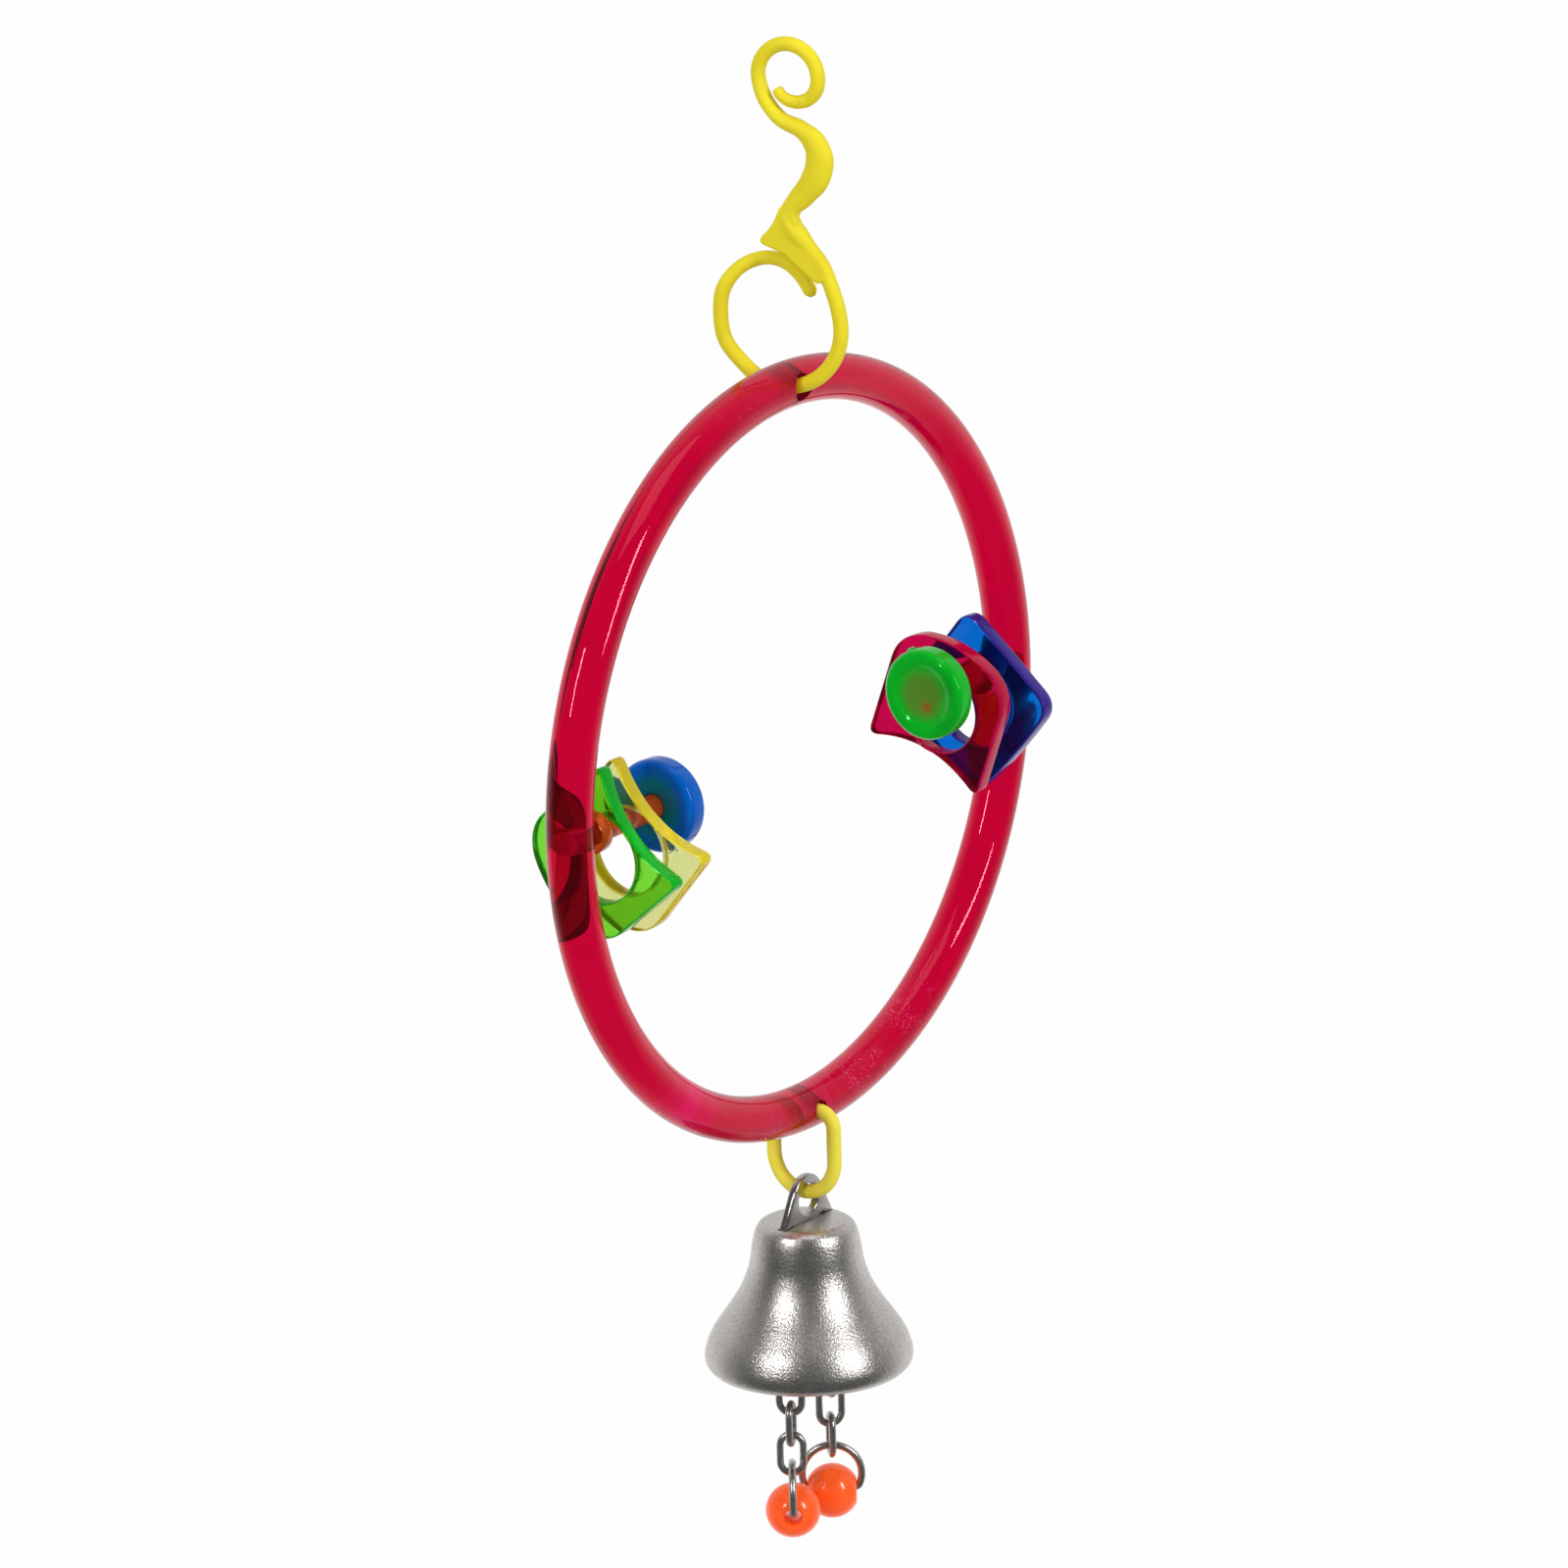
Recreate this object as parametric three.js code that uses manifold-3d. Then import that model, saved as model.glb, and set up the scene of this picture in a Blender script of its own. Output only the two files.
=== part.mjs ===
// A bird's perch ring in millimetres, +Z up. A snap hook carries an acrylic ring in the XZ plane,
// two stacks of loose plates stand inside the ring, and a bell with two bead chains hangs below it.
// The origin is where the cage bar carries the hook: at the top, inside its pigtail.

import * as THREE from "three";
import { mergeVertices } from "three/addons/utils/BufferGeometryUtils.js";
import Module from "manifold-3d";

const wasm = await Module();
wasm.setup();

const radians = THREE.MathUtils.degToRad;

// Clearances
const seatGap = 0.2; // between a piece and what carries it
const glueGap = 0.2; // round a glued spigot
const chainGap = 0.3; // between the wires of two links

// Perch ring
const ringRadius = 63.5; // of its centre line
const tubeRadius = 4;

// Hanging hook
const hookTurn = radians(10); // of the hook's plane about the load line
const hookWire = 2.6;
const pigtailWire = 2.5;
const pigtailRadius = 5.5;
const pigtailTipRadius = 3.6;
const pigtailTipWire = 1.8;
const pigtailTipAngle = radians(-46);
const pigtailSweep = radians(314);
const pigtailGrowth = radians(104); // the sweep in which it opens to its full radius
const stemDrop = 24.6; // from the pigtail's centre to the stem's waist
const stemWidth = 5; // at the belly
const stemDepth = 3;
const waistWidth = 3.4;
const waistRise = 18.2; // from the loop's centre to the waist
const loopRadius = 10.6;
const loopOffset = 1.9; // of the loop from straight below the pigtail
const loopSweep = radians(136); // the round stretch of the loop
const tailWire = 2.4;
const barbFront = 1.3;
const barbBack = 0.9;
const holeSlack = 0.55; // how far the loop's bend rises inside the ring's hole

// Toy stacks
const postDiameter = 4.4;
const collarDiameter = 7.2;
const collarLength = 3;
const spigotDiameter = 3.6;
const spigotLength = 5;
const capDiameter = 16;
const capThickness = 4.5;
const capFillet = 1.2;
const capDish = 0.5;
const capDishRadius = 5.8;
const capDishSlope = 1;
const capSocket = 3;
const nubWidth = 1.6;
const nubRise = 0.5;
const plateWidth = 24.1;
const plateThickness = 3;
const plateHole = 15;
const wavySide = 20.5;
const wavyBow = 3.5;
const wavyHoleRise = 11.5; // from the hollow side's corners
const wavyHollowCorner = 2.4;
const wavyRoundCorner = 4.7;
const squareSide = 23.2;
const squareBow = 0.6;
const squareHoleRise = 11.9;
const squareCorner = 3.7;
const plateClearance = 0.4; // between a turning plate's corner and the ring
const leftPlateGap = 2.1; // between the two plates
const leftPlateStand = 7.4; // from the cap to the inner plate
const rightPlateGap = 4.5;
const rightPlateStand = 3.2;

// Bell link
const linkWire = 2.5;
const linkHoleClearance = 0.4;
const linkSideGap = 1.05;
const linkDrop = 15.1; // between the wires' centres
const linkCorner = 2.9;
const linkSplit = 0.35;

// Bell hanger
const hangerThickness = 1.5;
const hangerEye = 5.3;
const hangerEyeRing = 1.7;
const hangerStand = 3.75; // from the bell's crown to the eye's centre
const legSpread = 5.8;
const legWidth = 2.2;
const legDrop = 4.15; // from the crown to a chain eye's centre
const chainEye = 2.6;
const chainEyeRing = 0.65;

// Bell shell: outer outline as radius and depth below the crown
const bellWall = 1;
const bellOutline = [
  [7.4, 0],
  [8.7, 1.5],
  [9.3, 4.1],
  [9.9, 7.8],
  [11.2, 11.5],
  [14.9, 17.4],
  [17.8, 22.7],
  [17.9, 24.2],
  [16.9, 26.2],
];
const slotClearance = 0.2;

// Bead chains
const chainLinks = 7;
const chainWire = 1.25;
const chainLinkLength = 7; // between the wires' centres
const chainLinkHalfWidth = 2;
const chainTwistA = radians(36); // over the whole chain
const chainTwistB = radians(-54);
const bailWire = 1.3;
const bailRadius = 5.15;
const bailChordDrop = 2.6;
const bailCorner = 1;
const beadDiameter = 9.5;
const beadLength = 8.4;
const beadHole = 3;

// Fineness of the curved surfaces
const ringSteps = 72;
const ringSides = 12;
const hookSides = 8;
const holeSides = 16;
const bellSteps = 36;
const turnedSteps = 20;
const wireSides = 6;
const bendSteps = 6;
const filletSteps = 3;

const hookMaterial = new THREE.MeshStandardMaterial({ color: 0xe6d732, roughness: 0.45 });
const ringMaterial = new THREE.MeshStandardMaterial({ color: 0xbe002d, roughness: 0.12 });
const orangePostMaterial = new THREE.MeshStandardMaterial({ color: 0xe0601e, roughness: 0.15 });
const pinkPostMaterial = new THREE.MeshStandardMaterial({ color: 0xe0305a, roughness: 0.15 });
const greenMaterial = new THREE.MeshStandardMaterial({ color: 0x28be32, roughness: 0.15 });
const yellowMaterial = new THREE.MeshStandardMaterial({ color: 0xe1d250, roughness: 0.15 });
const blueMaterial = new THREE.MeshStandardMaterial({ color: 0x005fc8, roughness: 0.15 });
const redMaterial = new THREE.MeshStandardMaterial({ color: 0xc8003c, roughness: 0.15 });
const bellMaterial = new THREE.MeshStandardMaterial({ color: 0xa5a09b, roughness: 0.4, metalness: 1 });
const steelMaterial = new THREE.MeshStandardMaterial({ color: 0x78736e, roughness: 0.2, metalness: 1 });
const beadMaterial = new THREE.MeshStandardMaterial({ color: 0xff5a1e, roughness: 0.2 });

// The load line, below the loop's centre, and the heights down it, each from the piece above
const loadLineX = -loopOffset * Math.sin(hookTurn);
const loadLineY = loopOffset * Math.cos(hookTurn);
const pigtailCentre = -(pigtailRadius - pigtailWire / 2);
const waistHeight = pigtailCentre - stemDrop;
const loopCentre = waistHeight - waistRise;
const loopBottom = loopCentre - loopRadius;
const loopSag = loopRadius - Math.sqrt(loopRadius ** 2 - tubeRadius ** 2);
const topHoleHeight = loopBottom + loopSag - holeSlack;
const topHoleRadius = hookWire / 2 + seatGap + Math.hypot(tubeRadius * Math.tan(hookTurn), holeSlack);
const ringCentre = topHoleHeight - ringRadius;
const bottomHoleRadius = linkWire / 2 + linkHoleClearance;
const linkTop = ringCentre - ringRadius - (linkHoleClearance - seatGap);
const linkHalfWidth = tubeRadius + linkSideGap + linkWire / 2;
const linkBottom = linkTop - linkDrop;
const linkBendCentre = linkBottom + linkHalfWidth;
const hangerEyeCentre = linkBottom + linkWire / 2 + seatGap - hangerEye / 2;
const crownTop = hangerEyeCentre - hangerStand;
const chainEyeCentre = crownTop - legDrop;
const chainTop = chainEyeCentre - chainEye / 2 + chainWire / 2 + chainGap;
const chainPitch = chainLinkLength - chainWire - chainGap;
const chainBottom = chainTop - (chainLinks - 1) * chainPitch - chainLinkLength;
const bailTop = chainBottom + (chainWire + bailWire) / 2 + chainGap;
const bailCentre = bailTop - bailRadius;
const chordHeight = bailCentre - bailChordDrop;
const beadCentre = chordHeight - (beadHole / 2 - bailWire / 2 - seatGap);

// Places along a post
const postRadius = postDiameter / 2;
const ringInner = ringRadius - tubeRadius;
const postFoot = Math.sqrt(ringInner ** 2 - (collarDiameter / 2) ** 2) - seatGap;

function solidOf(geometry) {
  const bare = geometry.clone();
  bare.deleteAttribute("normal");
  bare.deleteAttribute("uv");
  const merged = mergeVertices(bare, 1e-4);
  return new wasm.Manifold(
    new wasm.Mesh({
      numProp: 3,
      vertProperties: merged.attributes.position.array,
      triVerts: new Uint32Array(merged.index.array),
    }),
  );
}

function geometryOf(solid) {
  const { vertProperties, triVerts } = solid.getMesh();
  const geometry = new THREE.BufferGeometry();
  geometry.setAttribute("position", new THREE.BufferAttribute(vertProperties, 3));
  geometry.setIndex(new THREE.BufferAttribute(triVerts, 1));
  return geometry;
}

function addMesh(group, name, geometry, material, x = 0, y = 0, z = 0) {
  const mesh = new THREE.Mesh(geometry, material);
  mesh.name = name;
  mesh.position.set(x, y, z);
  group.add(mesh);
  return mesh;
}

// A rod bent in the YZ plane. A station is { y, z, width, depth, lift }: its place in that plane,
// its section in the plane and across it, and its offset along X.
function bentRod(stations, sides, closed) {
  const positions = [];
  const faces = [];
  const count = stations.length;
  stations.forEach((station, i) => {
    const before = stations[closed ? (i + count - 1) % count : Math.max(i - 1, 0)];
    const after = stations[closed ? (i + 1) % count : Math.min(i + 1, count - 1)];
    const along = new THREE.Vector2(after.y - before.y, after.z - before.z).normalize();
    for (let j = 0; j < sides; j += 1) {
      const angle = (2 * Math.PI * (j + 0.5)) / sides;
      const across = (Math.cos(angle) * station.width) / 2;
      const out = station.lift + (Math.sin(angle) * station.depth) / 2;
      positions.push(out, station.y - along.y * across, station.z + along.x * across);
    }
  });
  for (let i = 0; i < (closed ? count : count - 1); i += 1) {
    const here = i * sides;
    const next = ((i + 1) % count) * sides;
    for (let j = 0; j < sides; j += 1) {
      const k = (j + 1) % sides;
      faces.push(here + j, here + k, next + j, next + j, here + k, next + k);
    }
  }
  if (!closed) {
    const last = (count - 1) * sides;
    for (let j = 1; j < sides - 1; j += 1) {
      faces.push(0, j + 1, j, last, last + j, last + j + 1);
    }
  }
  const geometry = new THREE.BufferGeometry();
  geometry.setAttribute("position", new THREE.Float32BufferAttribute(positions, 3));
  geometry.setIndex(faces);
  return geometry;
}

// Stations of even wire on an arc about (y, z), from one angle to another
function arcStations(y, z, radius, from, to, steps, wire) {
  const stations = [];
  for (let i = 0; i <= steps; i += 1) {
    const angle = THREE.MathUtils.lerp(from, to, i / steps);
    stations.push({
      y: y + radius * Math.cos(angle),
      z: z + radius * Math.sin(angle),
      width: wire,
      depth: wire,
      lift: 0,
    });
  }
  return stations;
}

// A body of revolution about Y, from an outline of radius and height
function turned(outline, steps = turnedSteps) {
  const points = outline.map(([radius, height]) => new THREE.Vector2(radius, height));
  return new THREE.LatheGeometry(points, steps);
}

function torus(tube) {
  return new THREE.TorusGeometry(ringRadius, tube, ringSides, ringSteps).rotateX(Math.PI / 2);
}

// Hanging hook: pigtail, wavy stem and loop in one rod, joined to the barb that holds the loop shut
function pigtailStations() {
  const steps = 14;
  return Array.from({ length: steps + 1 }, (_, i) => {
    const swept = (pigtailSweep * i) / steps;
    const grown = Math.min(1, swept / pigtailGrowth);
    const radius = THREE.MathUtils.lerp(pigtailTipRadius, pigtailRadius, grown);
    const wire = THREE.MathUtils.lerp(pigtailTipWire, pigtailWire, grown);
    const angle = pigtailTipAngle - swept;
    return {
      y: radius * Math.cos(angle),
      z: pigtailCentre + radius * Math.sin(angle),
      width: wire,
      depth: wire,
      lift: 0,
    };
  });
}

function stemStations() {
  const belly = pigtailCentre - stemDrop / 2;
  const station = (y, z, width) => ({ y, z, width, depth: stemDepth, lift: 0 });
  return [
    station(pigtailRadius - 1.1, pigtailCentre - 4, pigtailWire),
    station(1.5, belly + 4.9, hookWire),
    station(-2.2, belly + 3.4, (hookWire + waistWidth) / 2),
    station(-4.7, belly + 1.2, (stemWidth + waistWidth) / 2),
    station(-5.5, belly - 1.6, stemWidth),
    station(-4.7, belly - 4.7, stemWidth),
    station(-2.5, belly - 7.6, (stemWidth + waistWidth) / 2),
    station(-0.2, waistHeight + 2.1, waistWidth),
    station(0.6, waistHeight, waistWidth),
  ];
}

function loopStations() {
  const loopTop = loopCentre + loopRadius;
  const station = (y, z, wire, lift) => ({ y, z, width: wire, depth: wire, lift });
  const behind = barbBack + seatGap + tailWire / 2;
  const right = loopOffset - loopRadius;
  const left = loopOffset + loopRadius;
  return [
    station(-1.2, loopTop + 5.2, waistWidth, 0),
    station(-3.4, loopTop + 2.8, hookWire, 0),
    station(-5.5, loopTop + 0.2, hookWire, 0),
    station(right + 1.7, loopTop - 3.2, hookWire, 0),
    station(right + 0.5, loopTop - 6.9, hookWire, 0),
    ...arcStations(loopOffset, loopCentre, loopRadius, Math.PI, Math.PI + loopSweep, 9, hookWire),
    station(left + 0.3, loopCentre - 3.6, hookWire, 0),
    station(left + 1.1, loopCentre + 0.9, hookWire, 0),
    station(left + 0.4, loopCentre + 5.4, hookWire, 0),
    station(left - 2.6, loopTop - 1.4, tailWire, behind / 3),
    station(loopOffset + 4, loopTop + 0.2, tailWire, behind * 0.8),
    station(loopOffset + 0.5, loopTop - 0.4, tailWire, behind),
    station(loopOffset - 2.2, loopTop - 2.4, tailWire, behind),
    station(loopOffset - 4, loopTop - 5, tailWire, behind),
    station(loopOffset - 4.5, loopTop - 5.9, tailWire / 2, behind),
  ];
}

// A smooth rod through the stations, with further stations between them
function smoothStations(stations, between) {
  const path = new THREE.CatmullRomCurve3(stations.map((s) => new THREE.Vector3(s.lift, s.y, s.z)));
  const sizes = new THREE.CatmullRomCurve3(
    stations.map((s) => new THREE.Vector3(s.width, s.depth, 0)),
    false,
    "catmullrom",
    0,
  );
  const steps = (stations.length - 1) * between;
  return Array.from({ length: steps + 1 }, (_, i) => {
    const place = path.getPoint(i / steps);
    const size = sizes.getPoint(i / steps);
    return { y: place.y, z: place.z, width: size.x, depth: size.y, lift: place.x };
  });
}

function barb() {
  const loopTop = loopCentre + loopRadius;
  const outline = new THREE.Shape();
  outline.moveTo(-1, loopTop + 8.1);
  outline.lineTo(-3.3, loopTop + 3.6);
  outline.lineTo(-5.9, loopTop + 0.1);
  outline.quadraticCurveTo(-7, loopTop - 2.4, -4.8, loopTop - 2.8);
  outline.quadraticCurveTo(-2, loopTop - 0.6, 1, loopTop + 1.8);
  outline.lineTo(3.6, loopTop + 2.8);
  outline.quadraticCurveTo(6.4, loopTop + 3.2, 4.9, loopTop + 4.8);
  outline.quadraticCurveTo(2.4, loopTop + 6.4, 1.5, loopTop + 8.6);
  const depth = barbFront + barbBack;
  const plate = new THREE.ExtrudeGeometry(outline, { depth, bevelEnabled: false, curveSegments: 4 });
  const across = new THREE.Vector3(1, 0, 0);
  const left = new THREE.Vector3(0, 1, 0);
  const up = new THREE.Vector3(0, 0, 1);
  plate.applyMatrix4(new THREE.Matrix4().makeBasis(left, up, across));
  return plate.translate(-barbFront, 0, 0);
}

function addHook(group) {
  const stations = [...pigtailStations(), ...stemStations(), ...loopStations()];
  const rod = bentRod(smoothStations(stations, 2), hookSides, false);
  const hook = geometryOf(solidOf(rod).add(solidOf(barb())));
  addMesh(group, "hanging_hook", hook, hookMaterial).rotation.z = hookTurn;
}

// Perch ring, with cross holes for the hook and the link and a socket for each post
function addRing(group) {
  const crossHole = (radius, height) =>
    solidOf(new THREE.CylinderGeometry(radius, radius, 4 * tubeRadius, holeSides).translate(0, 0, height));
  const socketRadius = spigotDiameter / 2 + glueGap;
  const socketStart = ringInner - tubeRadius;
  const socketEnd = postFoot + spigotLength + glueGap;
  const sockets = [-1, 1].map((side) => {
    const socket = new THREE.CylinderGeometry(socketRadius, socketRadius, socketEnd - socketStart, holeSides);
    socket.rotateZ(Math.PI / 2).translate((side * (socketEnd + socketStart)) / 2, 0, 0);
    return solidOf(socket);
  });
  let ring = solidOf(torus(tubeRadius));
  ring = ring.subtract(crossHole(topHoleRadius, ringRadius));
  ring = ring.subtract(crossHole(bottomHoleRadius, -ringRadius));
  sockets.forEach((socket) => {
    ring = ring.subtract(socket);
  });
  addMesh(group, "perch_ring", geometryOf(ring), ringMaterial, 0, 0, ringCentre);
}

// Plate outline about the centre of its hole: one hollow side, one bowed side, two straight sides
function plateShape({ side, bow, holeRise, hollowCorner, roundCorner }) {
  const half = plateWidth / 2;
  const rise = (u) => bow * (1 - (u / half) ** 2);
  const pull = (u) => bow * (1 + (u / half) ** 2);
  const low = half - hollowCorner;
  const high = half - roundCorner;
  const shape = new THREE.Shape();
  const v = (value) => value - holeRise;
  shape.moveTo(-low, v(rise(low)));
  shape.quadraticCurveTo(0, v(pull(low)), low, v(rise(low)));
  shape.quadraticCurveTo(half, v(0), half, v(hollowCorner));
  shape.lineTo(half, v(side - roundCorner));
  shape.quadraticCurveTo(half, v(side), high, v(side + rise(high)));
  shape.quadraticCurveTo(0, v(side + pull(high)), -high, v(side + rise(high)));
  shape.quadraticCurveTo(-half, v(side), -half, v(side - roundCorner));
  shape.lineTo(-half, v(hollowCorner));
  shape.quadraticCurveTo(-half, v(0), -low, v(rise(low)));
  const hole = new THREE.Path();
  hole.absarc(0, 0, plateHole / 2, 0, 2 * Math.PI, true);
  shape.holes.push(hole);
  return shape;
}

// A plate hung by its hole on a post along X. The turn points its bowed side, anticlockwise from -Y
// as seen from -X, and the lean swings the hole's centre away from straight below the post.
function plateGeometry({ form, turn, lean }) {
  const plate = new THREE.ExtrudeGeometry(plateShape(form), {
    depth: plateThickness,
    bevelEnabled: false,
    curveSegments: 10,
  });
  const across = new THREE.Vector3(0, -Math.sin(turn), -Math.cos(turn));
  const up = new THREE.Vector3(0, -Math.cos(turn), Math.sin(turn));
  const out = new THREE.Vector3(-1, 0, 0);
  plate.translate(0, 0, -plateThickness / 2);
  plate.applyMatrix4(new THREE.Matrix4().makeBasis(across, up, out));
  const slack = plateHole / 2 - postRadius - seatGap;
  return plate.translate(0, -slack * Math.sin(lean), -slack * Math.cos(lean));
}

// How far a plate's corners reach from its post's axis
function plateReach(geometry) {
  const place = geometry.getAttribute("position");
  const reaches = Array.from({ length: place.count }, (_, i) => Math.hypot(place.getY(i), place.getZ(i)));
  return Math.max(...reaches);
}

// A cap turned about the post: dished outer face, rounded edge, blind socket, and a moulding nub
function capGeometry() {
  const radius = capDiameter / 2;
  const socketRadius = postRadius + glueGap;
  const outline = [[0, capDish]];
  outline.push([capDishRadius - capDishSlope, capDish], [capDishRadius, 0]);
  const fillet = Array.from({ length: filletSteps + 1 }, (_, i) => ((i / filletSteps) * Math.PI) / 2);
  fillet.forEach((angle) => {
    const out = capFillet * (1 - Math.sin(angle));
    const back = capFillet * (1 - Math.cos(angle));
    outline.push([radius - out, back]);
  });
  fillet.toReversed().forEach((angle) => {
    const out = capFillet * (1 - Math.sin(angle));
    const back = capFillet * (1 - Math.cos(angle));
    outline.push([radius - out, capThickness - back]);
  });
  outline.push([socketRadius, capThickness]);
  outline.push([socketRadius, capThickness - capSocket], [0, capThickness - capSocket]);
  const disc = turned(outline).rotateZ(-Math.PI / 2);
  const nubHeight = capThickness / 2;
  const nub = new THREE.BoxGeometry(nubHeight, nubWidth, 2 * nubRise);
  nub.translate(capThickness / 2, 0, radius);
  return geometryOf(solidOf(disc).add(solidOf(nub)));
}

// A post turned in one piece: shaft, collar against the ring, and the spigot in its socket
function postGeometry(capBack) {
  const tip = capBack - capSocket + glueGap;
  const collarRadius = collarDiameter / 2;
  const outline = [
    [0, tip],
    [postRadius, tip],
    [postRadius, postFoot - collarLength],
    [collarRadius, postFoot - collarLength],
    [collarRadius, postFoot],
    [spigotDiameter / 2, postFoot],
    [spigotDiameter / 2, postFoot + spigotLength],
    [0, postFoot + spigotLength],
  ];
  return turned(outline).rotateZ(-Math.PI / 2);
}

// One post with its two loose plates and its cap, on the side of the ring that the sign gives
function addStack(group, side, { name, post, cap, outer, inner, gap, stand }) {
  const place = (piece) => addMesh(group, piece.name, plateGeometry(piece), piece.material);
  const outerPlate = place(outer);
  const reach = plateReach(outerPlate.geometry);
  const outerFace = Math.sqrt(ringInner ** 2 - reach ** 2) - plateClearance;
  const innerFace = outerFace - plateThickness - gap;
  const capBack = innerFace - plateThickness - stand;
  outerPlate.position.set(side * (outerFace - plateThickness / 2), 0, ringCentre);
  place(inner).position.set(side * (innerFace - plateThickness / 2), 0, ringCentre);
  const capFace = side * (capBack - capThickness);
  const stem = addMesh(group, name + "_post", postGeometry(capBack), post, 0, 0, ringCentre);
  const disc = addMesh(group, name + "_cap", capGeometry(), cap, capFace, 0, ringCentre);
  if (side < 0) {
    stem.rotation.z = Math.PI;
    disc.rotation.z = Math.PI;
  }
}

// Bell link: a split link through the ring's bottom hole, its ends meeting inside the ring
function addLink(group) {
  const side = linkHalfWidth - linkCorner;
  const quarter = Math.PI / 2;
  const end = (y) => ({ y, z: 0, width: linkWire, depth: linkWire, lift: 0 });
  const bend = linkBendCentre - linkTop;
  const stations = [
    end(linkSplit / 2),
    ...arcStations(side, -linkCorner, linkCorner, quarter, 0, 4, linkWire),
    ...arcStations(0, bend, linkHalfWidth, 0, -Math.PI, 12, linkWire),
    ...arcStations(-side, -linkCorner, linkCorner, Math.PI, quarter, 4, linkWire),
    end(-linkSplit / 2),
  ];
  addMesh(group, "bell_link", bentRod(stations, hookSides + 2, false), hookMaterial, 0, 0, linkTop);
}

// Bell hanger: a steel strip with one eye above the crown, and two legs through it with an eye each
function hangerGeometry() {
  const eyeOuter = hangerEye / 2 + hangerEyeRing;
  const footOuter = chainEye / 2 + chainEyeRing;
  const base = seatGap - hangerStand;
  const foot = -hangerStand - legDrop;
  const corner = legSpread + legWidth / 2;
  const neck = Math.acos(legWidth / 2 / footOuter);
  const tangent = Math.atan2(base, corner) + Math.acos(eyeOuter / Math.hypot(base, corner));
  const strip = new THREE.Shape();
  strip.absarc(legSpread, foot, footOuter, Math.PI - neck, 2 * Math.PI + neck, false);
  strip.lineTo(corner, base);
  strip.absarc(0, 0, eyeOuter, tangent, Math.PI - tangent, false);
  strip.lineTo(-corner, base);
  strip.absarc(-legSpread, foot, footOuter, Math.PI - neck, 2 * Math.PI + neck, false);
  strip.lineTo(legWidth / 2 - legSpread, base);
  strip.lineTo(legSpread - legWidth / 2, base);
  const eyes = [
    [0, 0, hangerEye / 2],
    [legSpread, foot, chainEye / 2],
    [-legSpread, foot, chainEye / 2],
  ];
  eyes.forEach(([x, y, radius]) => {
    const hole = new THREE.Path();
    hole.absarc(x, y, radius, 0, 2 * Math.PI, true);
    strip.holes.push(hole);
  });
  const plate = new THREE.ExtrudeGeometry(strip, {
    depth: hangerThickness,
    bevelEnabled: false,
    curveSegments: 9,
  });
  return plate.translate(0, 0, -hangerThickness / 2).rotateX(Math.PI / 2);
}

// Bell shell: an even wall behind the outer outline, open at the mouth, with a slot for each leg
function bellGeometry() {
  const outer = new THREE.SplineCurve(bellOutline.map(([r, depth]) => new THREE.Vector2(r, -depth)));
  const steps = 2 * (bellOutline.length - 1);
  const outline = [[0, 0]];
  const inside = [];
  for (let i = 0; i <= steps; i += 1) {
    const point = outer.getPoint(i / steps);
    const along = outer.getTangent(i / steps);
    outline.push([point.x, point.y]);
    inside.push([point.x + along.y * bellWall, point.y - along.x * bellWall]);
  }
  outline.push(...inside.filter(([, height]) => height < -bellWall).reverse());
  outline.push([bellOutline[0][0] - bellWall, -bellWall], [0, -bellWall]);
  let shell = solidOf(turned(outline.reverse(), bellSteps).rotateX(Math.PI / 2));
  [-1, 1].forEach((side) => {
    const slot = new THREE.BoxGeometry(
      legWidth + 2 * slotClearance,
      hangerThickness + 2 * slotClearance,
      4 * bellWall,
    );
    shell = shell.subtract(solidOf(slot.translate(side * legSpread, 0, -bellWall)));
  });
  return geometryOf(shell);
}

function addBell(group) {
  addMesh(group, "bell_hanger", hangerGeometry(), steelMaterial, 0, 0, hangerEyeCentre);
  addMesh(group, "bell_shell", bellGeometry(), bellMaterial, 0, 0, crownTop);
}

// Chain link in the YZ plane, below its upper wire
function chainLinkGeometry() {
  const half = chainLinkHalfWidth;
  const upper = arcStations(0, -half, half, 0, Math.PI, bendSteps, chainWire);
  const lower = arcStations(0, half - chainLinkLength, half, Math.PI, 2 * Math.PI, bendSteps, chainWire);
  return bentRod([...upper, ...lower], wireSides, true);
}

// Bail in the YZ plane about its round's centre: most of a circle, closed by a straight chord
function bailGeometry() {
  const cornerRise = bailCorner - bailChordDrop;
  const cornerOut = Math.sqrt((bailRadius - bailCorner) ** 2 - cornerRise ** 2);
  const leave = Math.atan2(cornerRise, cornerOut);
  const round = arcStations(0, 0, bailRadius, leave, Math.PI - leave, 3 * bendSteps, bailWire);
  const left = arcStations(-cornerOut, cornerRise, bailCorner, Math.PI - leave, 1.5 * Math.PI, 3, bailWire);
  const right = arcStations(cornerOut, cornerRise, bailCorner, -Math.PI / 2, leave, 3, bailWire);
  return bentRod([...round, ...left.slice(1), ...right.slice(0, -1)], wireSides, true);
}

// Bead about Y: a ball with flat ends and a hole
function beadGeometry() {
  const radius = beadDiameter / 2;
  const edge = Math.asin(beadLength / beadDiameter);
  const outline = [[beadHole / 2, -beadLength / 2]];
  const steps = 8;
  for (let i = 0; i <= steps; i += 1) {
    const angle = THREE.MathUtils.lerp(-edge, edge, i / steps);
    outline.push([radius * Math.cos(angle), radius * Math.sin(angle)]);
  }
  outline.push([beadHole / 2, beadLength / 2], [beadHole / 2, -beadLength / 2]);
  return turned(outline);
}

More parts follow.
